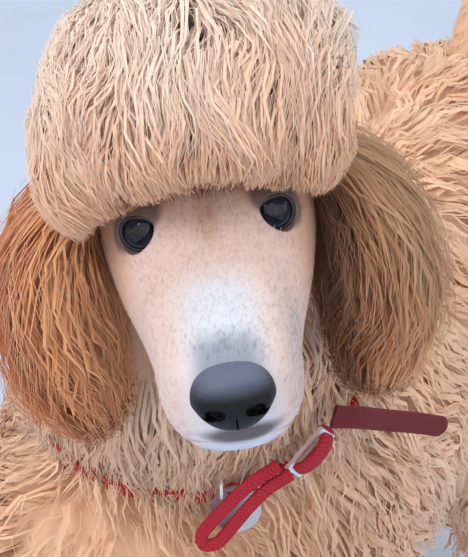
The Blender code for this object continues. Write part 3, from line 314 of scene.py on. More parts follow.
class Form:
    """A rounded trunk or limb: rings along a curve, drawn in to a rounded end at each side."""

    CAP_ANGLES = np.radians((25, 45, 62, 76, 86))
    CAP_REACH = 0.8

    def __init__(self, rows, grow=0.0, power=2.0, across=(1, 0, 0), count=40, capped=True):
        run = np.array(smooth_run(rows, count))
        centre, half = run[:, :3], run[:, 3:5] + grow
        along = unit(np.gradient(centre, axis=0))
        across = np.array(across, float)
        self.power = power
        self.caps = len(self.CAP_ANGLES) if capped else 0
        if capped:
            before = self._cap(centre[0], half[0], -along[0])
            after = self._cap(centre[-1], half[-1], along[-1])
            caps = len(self.CAP_ANGLES)
            centre = np.concatenate((before[0][::-1], centre, after[0]))
            half = np.concatenate((before[1][::-1], half, after[1]))
            along = np.concatenate((np.repeat(along[:1], caps, 0), along, np.repeat(along[-1:], caps, 0)))
        self.centre, self.half, self.along = centre, half, along
        self.wide = unit(across - along * (along @ across)[:, None])
        self.deep = np.cross(along, self.wide)

    def _cap(self, centre, half, way):
        reach = half.min() * self.CAP_REACH
        out, drawn = np.sin(self.CAP_ANGLES)[:, None], np.cos(self.CAP_ANGLES)[:, None]
        return centre + way * reach * out, half * drawn

    def measure(self, points):
        """How far out each point lies, 1 at the surface, and the way straight out from there."""
        first, last = self.caps, len(self.centre) - self.caps - 1
        spine = self.centre[first : last + 1]
        near = first + np.concatenate(
            [
                ((part[:, None] - spine[None]) ** 2).sum(2).argmin(1)
                for part in np.array_split(points, len(points) // 20000 + 1)
            ]
        )
        away = points - self.centre[near]
        wide, deep, half = self.wide[near], self.deep[near], self.half[near]
        across, down = (away * wide).sum(1) / half[:, 0], (away * deep).sum(1) / half[:, 1]
        ahead = (away * self.along[near]).sum(1) / half.min(1)
        past = np.where(near == first, np.maximum(-ahead, 0), np.where(near == last, np.maximum(ahead, 0), 0))
        value = np.abs(across) ** self.power + np.abs(down) ** self.power + (past / self.CAP_REACH) ** 2
        out = wide * (across / half[:, 0])[:, None] + deep * (down / half[:, 1])[:, None]
        out += self.along[near] * (ahead / half.min(1))[:, None]
        return value, unit(out)

    def holds(self, points):
        return self.measure(points)[0] < 1

    def at(self, along, angle, share):
        """Places in the form: how far along from 0 to 1, at what angle round it and how far out."""
        spot = np.clip(along, 0, 1) * (len(self.centre) - 1)
        low = np.minimum(spot.astype(int), len(self.centre) - 2)
        t = (spot - low)[..., None]
        centre, wide, deep, half = (
            row[low] * (1 - t) + row[low + 1] * t for row in (self.centre, self.wide, self.deep, self.half)
        )
        c, s = np.cos(angle)[..., None], np.sin(angle)[..., None]
        reach = (np.abs(c) ** self.power + np.abs(s) ** self.power) ** (-1 / self.power)
        out = wide * (c * reach * half[..., :1]) + deep * (s * reach * half[..., 1:])
        return centre + out * np.asarray(share)[..., None]

    def rings(self, sides):
        turns = 2 * np.pi * (np.arange(sides) + 0.5) / sides
        spots = np.linspace(0, 1, len(self.centre))
        return self.at(spots[:, None], np.broadcast_to(turns, (len(spots), sides)), np.ones((len(spots), sides)))


def mirrored(stations, side):
    return tuple((s[0] * side, *s[1:]) for s in stations)


def ball_rows(centre, radii):
    """A ball as rows from its top down."""
    rows = []
    for turn in range(8, 173, 12):
        rise, drawn = math.cos(math.radians(turn)), math.sin(math.radians(turn))
        rows.append((centre[0], centre[1], centre[2] + radii[2] * rise, radii[0] * drawn, radii[1] * drawn))
    return rows


def muscle(form, side, share):
    (x, y, z), radii = form
    return Form(ball_rows((x * side, y, z), [r - BODY_COAT * (1 - share) for r in radii]), capped=False)


def body_forms(share):
    """The torso, shoulders, haunches and legs in dog space, out to a share of the coat."""
    forms = [Form(TORSO, BODY_COAT * share, 2.2), Form(NECK, NECK_COAT * share)]
    for _, side in SIDES:
        forms += [muscle(SHOULDER, side, share), muscle(HAUNCH, side, share)]
        forms.append(Form(mirrored(FORELEG, side), LEG_COAT * share))
        forms.append(Form(mirrored(HINDLEG, side), LEG_COAT * share))
    return forms


# Making meshes


def object_of(name, bm, matrix=None):
    if matrix is not None:
        bmesh.ops.transform(bm, matrix=matrix, verts=bm.verts)
    bmesh.ops.recalc_face_normals(bm, faces=bm.faces)
    mesh = bpy.data.meshes.new(name)
    bm.to_mesh(mesh)
    bm.free()
    mesh.shade_smooth()
    made = bpy.data.objects.new(name, mesh)
    bpy.context.scene.collection.objects.link(made)
    return made


def loft(bm, rings, closed=False):
    """Circles of points set in place and bridged; an open run gets its two ends filled."""
    loops = []
    for ring in rings:
        made = bmesh.ops.create_circle(bm, segments=len(ring), radius=1)
        for vert, place in zip(made["verts"], ring):
            vert.co = Vector(place)
        loops.append(list({edge for vert in made["verts"] for edge in vert.link_edges}))
    for low, high in zip(loops, loops[1:] + (loops[:1] if closed else [])):
        bmesh.ops.bridge_loops(bm, edges=low + high)
    if not closed:
        bmesh.ops.holes_fill(bm, edges=loops[0] + loops[-1], sides=0)
    return bm


def ball(centre, radii, subdivisions=4):
    bm = bmesh.new()
    bmesh.ops.create_icosphere(bm, subdivisions=subdivisions, radius=1)
    bmesh.ops.scale(bm, vec=Vector(radii), verts=bm.verts)
    bmesh.ops.translate(bm, vec=Vector(centre), verts=bm.verts)
    return bm


def apply_modifiers(target):
    bpy.context.view_layer.update()
    graph = bpy.context.evaluated_depsgraph_get()
    mesh = bpy.data.meshes.new_from_object(target.evaluated_get(graph))
    old = target.data
    target.modifiers.clear()
    target.data = mesh
    bpy.data.meshes.remove(old)


def join_pieces(target, pieces, operation="UNION"):
    group = bpy.data.collections.new("pieces")
    bpy.context.scene.collection.children.link(group)
    for piece in pieces:
        for owner in list(piece.users_collection):
            owner.objects.unlink(piece)
        group.objects.link(piece)
    step = target.modifiers.new(operation, "BOOLEAN")
    step.operation = operation
    step.solver = "MANIFOLD"
    step.operand_type = "COLLECTION"
    step.collection = group
    apply_modifiers(target)
    for piece in pieces:
        bpy.data.objects.remove(piece, do_unlink=True)
    bpy.data.collections.remove(group)


def melted(name, parts, voxel, rounds):
    """Closed forms melted into one closed skin, with its joints smoothed."""
    bm = bmesh.new()
    for part in parts:
        mesh = bpy.data.meshes.new("part")
        part.to_mesh(mesh)
        part.free()
        bm.from_mesh(mesh)
        bpy.data.meshes.remove(mesh)
    target = object_of(name, bm)
    step = target.modifiers.new("melt", "REMESH")
    step.mode = "VOXEL"
    step.voxel_size = voxel
    apply_modifiers(target)
    bm = bmesh.new()
    bm.from_mesh(target.data)
    for _ in range(rounds):
        bmesh.ops.smooth_vert(bm, verts=bm.verts, factor=0.5, use_axis_x=True, use_axis_y=True, use_axis_z=True)
    bm.to_mesh(target.data)
    bm.free()
    target.data.shade_smooth()
    return target


def form_mesh(form, matrix, sides=40):
    bm = bmesh.new()
    loft(bm, form.rings(sides))
    bmesh.ops.transform(bm, matrix=matrix, verts=bm.verts)
    return bm


# The skin


def eye_axis(side):
    turn, rise = math.radians(EYE_TURN), math.radians(EYE_RISE)
    return Vector((math.sin(turn) * side, -math.cos(turn), math.sin(rise))).normalized()


def eye_place(side, out=0.0):
    axis = eye_axis(side)
    centre = Vector((EYE_CENTRE.x * side, *EYE_CENTRE.yz)) + axis * out
    return HEAD_PLACE @ Matrix.Translation(centre) @ axis.to_track_quat("-Y", "Z").to_matrix().to_4x4()


def shaped_face(point, middle):
    push = 0.0
    for x, y, z, reach, amount in FACE_FORMS:
        away = (Vector((abs(point.x), point.y, point.z)) - Vector((x, y, z))).length / reach
        push += amount * math.exp(-away * away)
    return point + (point - middle).normalized() * push


def head_rings(sides, count, grow=0.0):
    rings = []
    run = smooth_run(HEAD, count)
    for y, z, wide, high, power in run:
        middle = Vector((0, y, z))
        ring = []
        for i in range(sides):
            angle = 2 * math.pi * (i + 0.5) / sides
            c, s = math.cos(angle), math.sin(angle)
            reach = (abs(c) ** power + abs(s) ** power) ** (-1 / power)
            point = middle + Vector((c * reach * (wide + grow), 0, s * reach * (high + grow)))
            ring.append(shaped_face(point, middle))
        rings.append(ring)
    ends = []
    for row, out in ((run[0], -0.006), (run[-1], 0.008)):
        middle = Vector((0, row[0], row[1]))
        source = rings[0] if out < 0 else rings[-1]
        caps = []
        for share in (0.35, 0.65, 0.88, 0.98):
            drawn = math.sqrt(1 - share * share)
            caps.append([middle + (p - middle) * drawn + Vector((0, out * share, 0)) for p in source])
        ends.append(caps)
    return ends[0][::-1] + rings + ends[1]


def nape_form(grow=0.0):
    into_head = (DOG.inverted() @ HEAD_PLACE).inverted()
    top, low = (into_head @ Vector(NECK[i][:3]) for i in (4, 2))
    rows = ((0, 0.062, -0.016, 0.046, 0.046), (*top, 0.048, 0.050), (*low, 0.056, 0.058))
    return Form(rows, grow)


FLAP_SHARE = (0.9, 0.80, 0.50, 0.42, 0.34, 0.26)
FLAP_DEPTH = (0.8, 0.45, 0.20, 0.16, 0.14, 0.12)


def flap_form(side):
    """The ear's thin leather under its hair."""
    rows = []
    for row, wide, deep in zip(mirrored(EAR, side), FLAP_SHARE, FLAP_DEPTH):
        rows.append((*row[:3], row[3] * wide, row[4] * deep))
    return Form(rows, 0.0, 2.2, (0, 1, 0))


def topknot_core():
    """The topknot's rows brought half way down to the skull, without the foremost."""
    skull = smooth_run(HEAD, 60)
    rows = []
    for row in TOPKNOT[1:]:
        y, z, wide, high, _ = min(skull, key=lambda station: abs(station[0] - row[1]))
        bare = (0, min(row[1], y + 0.01), z, wide, high)
        rows.append(tuple(b + (r - b) * CORE_SHARE for r, b in zip(row, bare)))
    return Form(rows)


def brow_roof(head, rise=SIGHT_ANGLE):
    """How high the topknot's lower edge lies over each place in head space, rising ahead of the eyes."""
    ahead = np.maximum(SIGHT_FROM - head[:, 1], 0)
    out = np.abs(head[:, 0])
    droop = FACE_DROOP * np.maximum(out - FACE_SIDE, 0) ** 2
    return FACE_RIDGE - FACE_FALL * out - droop + ahead * math.tan(math.radians(rise))


def tucked_core():
    """The topknot's core, drawn into the skull where it would hang over the eyes."""
    bm = bmesh.new()
    loft(bm, topknot_core().rings(40))
    places = np.array([v.co for v in bm.verts])
    low = brow_roof(places, CORE_SIGHT_ANGLE) + BROW_MARGIN - places[:, 2]
    draw_in = 0.88 * eased(-0.010, 0.004, low) * (places[:, 1] < FACE_BACK)
    for vert, share in zip(bm.verts, draw_in):
        vert.co = vert.co.lerp(SKULL_MIDDLE, share)
    bmesh.ops.transform(bm, matrix=HEAD_PLACE, verts=bm.verts)
    return bm


def lip_line(side):
    """A thin cutter along the mouth, from under the nose back to its corner."""
    points = []
    for y, z, wide, high, power in smooth_run(HEAD, 60):
        if not LIP_FRONT < y < LIP_CORNER:
            continue
        share = (y - LIP_FRONT) / (LIP_CORNER - LIP_FRONT)
        drop = LIP_DROP + LIP_SAG * math.sin(share * math.pi)
        across = (1 - min(0.999, drop / high) ** power) ** (1 / power) * wide
        points.append((side * across, y, z - drop, *LIP_CUT))
    front = (0.0, points[0][1] - 0.0032, points[0][2] - 0.0004, *LIP_CUT)
    bend = (side * 0.010, front[1] + 0.0014, front[2], *LIP_CUT)
    return Form((front, bend, *points[1::3]), 0.0, count=40)


def nose_form(grow=0.0, subdivisions=5):
    """The nose: wide and square above, narrowing to the lip below."""
    bm = ball((0, 0, 0), (1, 1, 1), subdivisions)
    for v in bm.verts:
        square = 1 / max(abs(v.co.x) ** 3 + abs(v.co.z) ** 3, 0.35) ** 0.12
        narrow = 1 - 0.30 * max(0.0, -v.co.z)
        v.co = Vector((v.co.x * square * narrow, v.co.y, v.co.z * square))
        v.co = Vector(v.co[i] * (NOSE_RADII[i] + grow) for i in range(3)) + NOSE_CENTRE
    bmesh.ops.transform(bm, matrix=HEAD_PLACE, verts=bm.verts)
    return bm


def make_skin():
    head = loft(bmesh.new(), head_rings(72, 90))
    bmesh.ops.transform(head, matrix=HEAD_PLACE, verts=head.verts)
    parts = [head, form_mesh(nape_form(), HEAD_PLACE)]
    for _, side in SIDES:
        parts.append(form_mesh(flap_form(side), HEAD_PLACE))
        lid = ball((0, 0, 0), [EYE_RADIUS + LID] * 3)
        bmesh.ops.transform(lid, matrix=eye_place(side), verts=lid.verts)
        parts.append(lid)
    skin = melted("skin", parts, 0.0016, 4)
    cutters = [object_of("nose_seat", nose_form(-0.0012, 4))]
    for _, side in SIDES:
        cutters.append(object_of("socket", ball((0, 0, 0), [EYE_RADIUS + GAP] * 3), eye_place(side)))
        cutters.append(object_of("opening", ball((0, 0, 0), EYE_OPENING), eye_place(side, EYE_RADIUS)))
        cutters.append(object_of("lip_line", form_mesh(lip_line(side), HEAD_PLACE, 8)))
    join_pieces(skin, cutters, "DIFFERENCE")
    body = [form_mesh(form, DOG) for form in body_forms(CORE_SHARE)]
    body.append(tucked_core())
    body.append(ball(DOG @ POMPON_CENTRE, [POMPON_RADIUS * POMPON_CORE] * 3))
    body.append(form_mesh(Form(TAIL), DOG))
    added = [melted("body", body, 0.0055, 3)]
    for at in (FOREPAW_AT, HINDPAW_AT):
        for _, side in SIDES:
            added.append(melted("paw", paw_parts(at, side), 0.0020, 3))
    join_pieces(skin, added)
    skin.data.shade_smooth()
    return skin


def paw_parts(at, side):
    """A shaved foot: four toes round a pad, flat on the floor."""
    x, y = at.x * side, at.y
    pastern = [(row[0] + x, row[1] + y, *row[2:]) for row in PASTERN]
    parts = [ball(DOG @ Vector((x, y, PAW_RISE)), PAW_RADII, 4), form_mesh(Form(pastern), DOG, 24)]
    for across, ahead in TOES:
        parts.append(ball(DOG @ Vector((x + across, y + ahead, TOE_RISE)), TOE_RADII, 3))
    for part in parts:
        for vert in part.verts:
            vert.co.z = max(vert.co.z, 0.0)
    return parts


# The coat


def paint(red, green, blue):
    """A colour as seen, 0 to 255, in the linear values that shaders take."""
    return np.array([((c / 255 + 0.055) / 1.055) ** 2.4 if c > 10 else c / 255 / 12.92 for c in (red, green, blue)])


CREAM, APRICOT, RUST, UMBER = paint(240, 208, 182), paint(234, 188, 154), paint(212, 152, 108), paint(168, 112, 78)
# painted light and shade: the bluish white below is a painted sheen for the muzzle's top, the grey-brown a painted
# shade for an ear's top
PALE, BARE, MUZZLE_SHEEN, EAR_PAINTED_SHADE = paint(250, 236, 228), paint(230, 204, 197), paint(220, 226, 240), paint(176, 148, 122)
# the eye's light blue is a painted reflection
PUPIL, IRIS, EYE_PAINTED_REFLECTION = paint(8, 10, 18), paint(34, 40, 60), paint(84, 96, 128)
# the nose's lighter colour is a painted highlight for its top
NOSE_DARK, NOSE_PAINTED_LIGHT = paint(12, 13, 18), paint(98, 108, 134)
# the darker red is the strap's own red with painted shade, for its tail
RED, STRAP_SHADED_RED = paint(186, 16, 46), paint(118, 18, 28)
SLATE, EYE_SHADE, BROW_SHADE = paint(122, 128, 148), paint(92, 78, 84), paint(206, 160, 132)


def blended(first, second, share):
    return first + (second - first) * np.asarray(share)[:, None]


def patchy(points, size, seed):
    """A soft uneven field from 0 to 1, with patches about the given size."""
    draw = np.random.default_rng(seed)
    total = np.zeros(len(points))
    for _ in range(6):
        way = draw.normal(0, 1, 3)
        total += np.sin(points @ (way / np.linalg.norm(way)) * (2 * np.pi / size) * draw.uniform(0.6, 1.5) + draw.uniform(0, 6))
    return np.clip(0.5 + total / 7, 0, 1)


def drifting(points, size):
    """A soft field of directions, alike within patches of about the given size."""
    return np.stack([2 * patchy(points, size, 20 + i) - 1 for i in range(3)], 1)


def markings(points):
    """The colour of the skin and coat at each place of the dog, with painted light and shade in places."""
    dog, head = moved(points, DOG.inverted()), moved(points, HEAD_PLACE.inverted())
    x, y, z = np.abs(head[:, 0]), head[:, 1], head[:, 2]
    everywhere = np.ones(len(points))
    coat = blended(np.tile(CREAM, (len(points), 1)), APRICOT, 0.25 + 0.6 * patchy(dog, 0.09, 3))
    # partly painted light: the topknot is painted paler towards its top and back, where light falls from above, over
    # its own apricot
    topknot = blended(np.tile(APRICOT, (len(points), 1)), PALE, eased(0.020, 0.100, z + 0.35 * y))
    topknot = blended(topknot, APRICOT, 0.45 * patchy(head, 0.055, 4))
    # painted shade: a rust patch on the topknot's front, where shadow falls
    knot_shade = np.linalg.norm((head - np.array(KNOT_SHADE_AT)) / np.array(KNOT_SHADE_SPREAD), axis=1)
    topknot = blended(topknot, RUST, 0.5 * eased(1.0, 0.2, knot_shade))
    # painted sheen: the muzzle's top is painted bluish white where it reflects the sky
    face = blended(np.tile(BARE, (len(points), 1)), MUZZLE_SHEEN, eased(0.026, 0.006, x) * eased(-0.030, -0.065, y))
    face = blended(face, APRICOT, 0.75 * eased(-0.055, 0.0, y) * eased(0.028, 0.044, x))
    # painted shade on the dog's left side of the muzzle, turned away from the light
    face = blended(face, SLATE, 0.35 * eased(0.018, 0.030, head[:, 0]) * eased(-0.030, -0.060, y))
    face = blended(face, BROW_SHADE, 0.55 * eased(0.007, 0.001, x) * eased(-0.010, 0.0, z) * eased(-0.035, -0.015, y))
    face = blended(face, BROW_SHADE, 0.5 * eased(-0.050, -0.060, z) * eased(-0.105, -0.085, y))
    face = blended(face, SLATE, 0.75 * eased(-0.080, -0.098, y) * eased(-0.030, -0.014, z) * eased(0.018, 0.008, x))
    lips = np.linalg.norm((head - np.array(LIP_MIDDLE)) / np.array(LIP_SPREAD), axis=1)
    face = blended(face, EYE_SHADE * 0.7, 0.9 * eased(1.1, 0.5, lips))
    for _, side in SIDES:
        eye = np.array((EYE_CENTRE.x * side, *EYE_CENTRE.yz))
        # painted shade above each eye, under the fringe
        above = np.linalg.norm((head - eye - np.array(BROW_ABOVE_EYE)) / np.array(BROW_SPREAD), axis=1)
        face = blended(face, BROW_SHADE, 0.75 * eased(1.2, 0.5, above))
        away = np.linalg.norm(head - eye, axis=1)
        face = blended(face, EYE_SHADE, 0.85 * eased(0.0175, 0.0140, away))
    on_head = beyond(dog, NECK_TOP) & (dog[:, 1] < HEAD_BACK)
    colour = np.where(on_head[:, None], topknot, coat)
    colour = np.where((on_head & ~clear_of_face(head))[:, None], face, colour)
    return colour


def ear_markings(points):
    """The ears: apricot above, rust below, with painted shade darkest inside by the cheek and painted light and shade
    from one side to the other.
    """
    head = moved(points, HEAD_PLACE.inverted())
    x, z = np.abs(head[:, 0]), head[:, 2]
    ear = blended(np.tile(APRICOT, (len(points), 1)), RUST, eased(0.03, -0.02, z) * (0.5 + 0.5 * patchy(head, 0.03, 5)))
    ear = blended(ear, RUST, 0.8 * eased(0.105, 0.080, x))
    # painted shade: the ear painted darkest inside where it lies against the cheek
    cheek_shade = eased(0.078, 0.052, x) * eased(0.01, -0.02, z)
    ear = blended(ear, UMBER, np.clip(0.45 * eased(-0.03, -0.09, z) + 0.6 * cheek_shade, 0, 0.85))
    # painted light and shade: the dog's left ear is painted greyer on top, in shade, and the right ear lighter, on the
    # lit side
    on_left = eased(-0.01, 0.01, head[:, 0])
    ear = blended(ear, EAR_PAINTED_SHADE, 0.7 * on_left * eased(-0.02, 0.03, z))
    return np.clip(ear * (1 + 0.22 * (1 - on_left))[:, None], 0, 0.95)


def clear_of_face(head):
    return (head[:, 1] > FACE_BACK) | (head[:, 2] > FACE_RIDGE - FACE_FALL * np.abs(head[:, 0]))


def chart(points, matrix, middle, axis):
    """The skin unrolled round an axis, Y or Z, through a middle point."""
    local = moved(points, matrix.inverted()) - np.array(middle)
    across = local[:, 0]
    down, along = (local[:, 2], local[:, 1]) if axis == "Y" else (local[:, 1], local[:, 2])
    turn = np.arctan2(across, down) / (2 * np.pi) + 0.5
    run = (along - along.min()) / max(np.ptp(along), 1e-6)
    return 0.02 + 0.96 * np.stack((turn, run), 1)


PATCH = 0.003
# Broad tufts lie a little deeper than the fine ones and much flatter; all are shaded softly, as a mass of hair
UNDER_REACH, UNDER_FLATNESS, UNDER_DEPTH, SOFTNESS = 0.92, 0.85, 1.6, 0.90
LEVELLING, GROWTH_STEPS = 0.25, 12
# Hair is painted a little lighter at the root: painted light standing in for light that scatters between the tufts
ROOT_PAINTED_LIGHT = 0.12


class Look:
    """How a region's tufts are made: how many, in how many locks, and their sizes and lie."""

    def __init__(
        self, tufts, locks, rings, width, length=0.0, lift=(1.0, 0.2), droop=0.1, stray=0.1, drift=0.5, patch=0.03,
        curl=0.0, turns=1.0, clump=0.3, wander=0.0006, flat=0.45, taper=(0.8, 1.0, 0.25), under=0.0, broad=4.0,
        level=(0.80, 0.98), short=False,
    ):
        self.tufts, self.locks, self.rings, self.width = tufts, locks, rings, width
        self.length, self.lift, self.droop, self.stray = length, lift, droop, stray
        self.curl, self.turns, self.clump, self.wander = curl, turns, clump, wander
        self.flat, self.taper, self.drift, self.patch = flat, taper, drift, patch
        self.under, self.broad, self.level, self.short = under, broad, level, short


def nearest_of(roots, points):
    tree = KDTree(len(roots))
    for i, root in enumerate(roots):
        tree.insert(root, i)
    tree.balance()
    return np.array([tree.find(point)[1] for point in points])


def tuft_mesh(name, roots, normals, lock_roots, lock_paths, look, uv, colour, measured, draw):
    """Thin tapered tufts, each following its lock's path and drawn to it towards the tip."""
    count, stations = len(roots), lock_paths.shape[1]
    near = nearest_of(lock_roots, roots)
    t = np.linspace(0, 1, stations)
    broad = draw.random(count) < look.under
    size = (draw.uniform(0.80, 1.02, count) * np.where(broad, UNDER_REACH, 1))[:, None, None]
    offset = (roots - lock_roots[near])[:, None]
    path = roots[:, None] + lock_paths[near] * size - offset * (look.clump * t**1.3)[None, :, None]
    phase = draw.uniform(0, 2 * np.pi, (count, 1, 3))
    beat = draw.uniform(1.0, 2.2, (count, 1, 3))
    sway = np.sin(2 * np.pi * beat * t[None, :, None] + phase) - np.sin(phase)
    path = path + sway * look.wander * np.minimum(1, 2 * t)[None, :, None]
    path, reach = trimmed(path, measured)
    kept = reach > 0.12
    path, normals, uv, broad = path[kept], normals[kept], uv[kept], broad[kept]
    lock_shade = draw.uniform(0.97, 1.03, len(lock_roots))[near[kept]]
    colour = colour[kept] * lock_shade[:, None]
    count = len(path)
    out = np.repeat(normals[:, None], stations, 1)
    if not look.short:
        out = measured(path.reshape(-1, 3))[1].reshape(path.shape)
    depth = np.where(broad, UNDER_DEPTH * look.width, 0)[:, None, None] * np.minimum(1, 2 * t)[None, :, None]
    path = path - out * depth
    along = unit(np.gradient(path, axis=1))
    side = unit(np.cross(out, along) + 1e-6)
    up = np.cross(along, side)
    spots = t[:-1]
    shape = np.interp(spots, (0, 0.4, 1), look.taper) * look.width
    breadth = np.where(broad, look.broad, 1.0)[:, None]
    wide = shape[None] * draw.uniform(0.7, 1.25, (count, 1)) * breadth
    thick = wide * look.flat / breadth**UNDER_FLATNESS
    corners, facings = [], []
    for turn in np.radians((90, 210, 330)):
        corner = side[:, :-1] * (math.cos(turn) * wide / 2)[..., None]
        corners.append(path[:, :-1] + corner + up[:, :-1] * (math.sin(turn) * thick / 2)[..., None])
        facing = side[:, :-1] * math.cos(turn) + up[:, :-1] * math.sin(turn)
        facings.append(unit(facing * (1 - SOFTNESS) + out[:, :-1] * SOFTNESS))
    rings = stations - 1
    each = 3 * rings + 1
    places, shading = np.empty((count, each, 3)), np.empty((count, each, 3))
    for rows, ends, kept_rows in ((places, path[:, -1], corners), (shading, unit(out + 0.5 * along)[:, -1], facings)):
        rows[:, : 3 * rings] = np.stack(kept_rows, 2).reshape(count, 3 * rings, 3)
        rows[:, -1] = ends
    inward = np.concatenate((np.repeat(-up[:, :-1], 3, axis=1), -up[:, -1:]), 1)
    faces, inner = [(2, 1, 0)], [True]
    for ring in range(rings - 1):
        for k in range(3):
            a, b = 3 * ring + k, 3 * ring + (k + 1) % 3
            faces.append((a, b, b + 3, a + 3))
            inner.append(k == 1)
    for k in range(3):
        faces.append((3 * (rings - 1) + k, 3 * (rings - 1) + (k + 1) % 3, each - 1))
        inner.append(k == 1)
    is_inner = np.array([flag for face, flag in zip(faces, inner) for _ in face])
    sizes = np.tile([len(face) for face in faces], count)
    pattern = np.array([corner for face in faces for corner in face])
    corner_of = (np.arange(count)[:, None] * each + pattern[None]).ravel()
    mesh = bpy.data.meshes.new(name)
    mesh.vertices.add(count * each)
    mesh.vertices.foreach_set("co", places.astype(np.float32).ravel())
    mesh.loops.add(len(corner_of))
    mesh.loops.foreach_set("vertex_index", corner_of.astype(np.int32))
    mesh.polygons.add(len(sizes))
    mesh.polygons.foreach_set("loop_start", np.concatenate(([0], np.cumsum(sizes)[:-1])).astype(np.int32))
    along_tuft = np.append(np.repeat(spots, 3), 1.0)
    across_tuft = np.append(np.tile((0.5, 0.0, 1.0), rings), 0.5)
    patch = np.stack((across_tuft - 0.5, along_tuft - 0.5), 1) * PATCH
    baked = (uv[:, None] + patch[None]).reshape(-1, 2)
    strands = across_tuft[None] * breadth + draw.uniform(0, 50, (count, 1))
    grain = np.stack((strands, np.tile(along_tuft, (count, 1))), 2)
    for layer, values in (("OFBake", baked), ("grain", grain.reshape(-1, 2))):
        mesh.uv_layers.new(name=layer).data.foreach_set("uv", values[corner_of].astype(np.float32).ravel())
    # painted light: each tuft painted lighter towards its root
    tint = colour[:, None] * (1 + ROOT_PAINTED_LIGHT * (1 - along_tuft[None, :, None]))
    tint = np.clip(tint * draw.uniform(0.96, 1.04, (count, 1, 1)), 0, 0.95).reshape(-1, 3)
    rgba = np.concatenate((tint, np.ones((len(tint), 1))), 1).astype(np.float32)
    mesh.color_attributes.new("tint", "FLOAT_COLOR", "POINT").data.foreach_set("color", rgba.ravel())
    mesh.update()
    mesh.shade_smooth()
    corner_normals = np.where(is_inner[None, :, None], inward[:, pattern], shading[:, pattern])
    mesh.normals_split_custom_set(corner_normals.reshape(-1, 3))
    made = bpy.data.objects.new(name, mesh)
    bpy.context.scene.collection.objects.link(made)
    return made


class Surface:
    """The skin's triangles, to set roots on."""

    def __init__(self, target):
        mesh = target.data
        mesh.calc_loop_triangles()
        points = np.empty(len(mesh.vertices) * 3, np.float32)
        mesh.vertices.foreach_get("co", points)
        normals = np.empty(len(mesh.vertices) * 3, np.float32)
        mesh.vertices.foreach_get("normal", normals)
        corners = np.empty(len(mesh.loop_triangles) * 3, np.int32)
        mesh.loop_triangles.foreach_get("vertices", corners)
        corners = corners.reshape(-1, 3)
        self.corners = points.reshape(-1, 3)[corners].astype(float)
        self.normals = normals.reshape(-1, 3)[corners].astype(float)
        first, second = self.corners[:, 1] - self.corners[:, 0], self.corners[:, 2] - self.corners[:, 0]
        self.areas = np.linalg.norm(np.cross(first, second), axis=1) / 2
        self.middles = self.corners.mean(1)
        self.dog = moved(self.middles, DOG.inverted())
        self.head = moved(self.middles, HEAD_PLACE.inverted())

    def scatter(self, mask, count, draw, weight=None):
        share = self.areas * mask * (1 if weight is None else weight)
        chosen = draw.choice(len(share), count, p=share / share.sum())
        u = np.sqrt(draw.random(count))[:, None]
        v = draw.random(count)[:, None]
        mix = np.stack((1 - u, u * (1 - v), u * v), 1)
        return (self.corners[chosen] * mix).sum(1), unit((self.normals[chosen] * mix).sum(1))


def head_space(points):
    return moved(points, HEAD_PLACE.inverted())


def dog_space(points):
    return moved(points, DOG.inverted())


class Shell:
    """How far the scissored topknot reaches each way from the middle of the skull."""

    TURNS, RISES, STEPS, LIMIT = 72, 36, 60, 0.15

    def __init__(self, middle, holds):
        self.middle = np.array(middle)
        turn = np.linspace(-np.pi, np.pi, self.TURNS + 1)[None]
        rise = np.linspace(-np.pi / 2, np.pi / 2, self.RISES + 1)[:, None]
        ways = np.stack((np.cos(rise) * np.sin(turn), -np.cos(rise) * np.cos(turn), np.sin(rise) + 0 * turn), 2)
        steps = np.linspace(0, self.LIMIT, self.STEPS)
        points = self.middle + ways[:, :, None] * steps[:, None]
        inside = holds(points.reshape(-1, 3)).reshape(points.shape[:3])
        self.reach = np.maximum((steps * inside).max(2), 0.02)

    def measure(self, points):
        """How far out each point lies, 1 at the surface, and the way straight out."""
        away = points - self.middle
        length = np.maximum(np.linalg.norm(away, axis=1), 1e-6)
        turn = (np.arctan2(away[:, 0], -away[:, 1]) / (2 * np.pi) + 0.5) * self.TURNS
        rise = (np.arcsin(np.clip(away[:, 2] / length, -1, 1)) / np.pi + 0.5) * self.RISES
        column, row = np.minimum(turn.astype(int), self.TURNS - 1), np.minimum(rise.astype(int), self.RISES - 1)
        across, up = turn - column, rise - row
        low = self.reach[row, column] * (1 - across) + self.reach[row, column + 1] * across
        high = self.reach[row + 1, column] * (1 - across) + self.reach[row + 1, column + 1] * across
        return (length / (low * (1 - up) + high * up)) ** 2, away / length[:, None]


def in_ball(points, centre, radii):
    return (((points - np.array(centre)) / np.array(radii)) ** 2).sum(1) < 1


def in_topknot(head):
    inside = Form(TOPKNOT).holds(head) & in_ball(head, *ROUND)
    for lobe in LOBES:
        inside |= in_ball(head, *lobe)
    return inside


topknot_outline = Shell(HAIR_MIDDLE, in_topknot)
body_outline = body_forms(1.0)


def measured_topknot(points):
    """How far out points lie in the topknot, past 1 also where they would hang over the face."""
    head = head_space(points)
    value, out = topknot_outline.measure(head)
    value = value * (1 + 0.16 * (patchy(head, 0.035, 11) - 0.1))
    over_face = (head[:, 2] < brow_roof(head)) & (head[:, 1] < FACE_BACK)
    return np.where(over_face, 2.0, value), turned(out, HEAD_PLACE)


def measured_body(points):
    dog = dog_space(points)
    value, out = body_outline[0].measure(dog)
    for form in body_outline[1:]:
        other, way = form.measure(dog)
        nearer = other < value
        value, out = np.where(nearer, other, value), np.where(nearer[:, None], way, out)
    return value, out


def collar_plane():
    """The collar's middle and the neck's way through it."""
    run = smooth_run(NECK, 81)
    i = min(range(1, 80), key=lambda n: abs(run[n][2] - COLLAR_HEIGHT))
    return Vector(run[i][:3]), Vector(run[i + 1][:3]) - Vector(run[i - 1][:3])


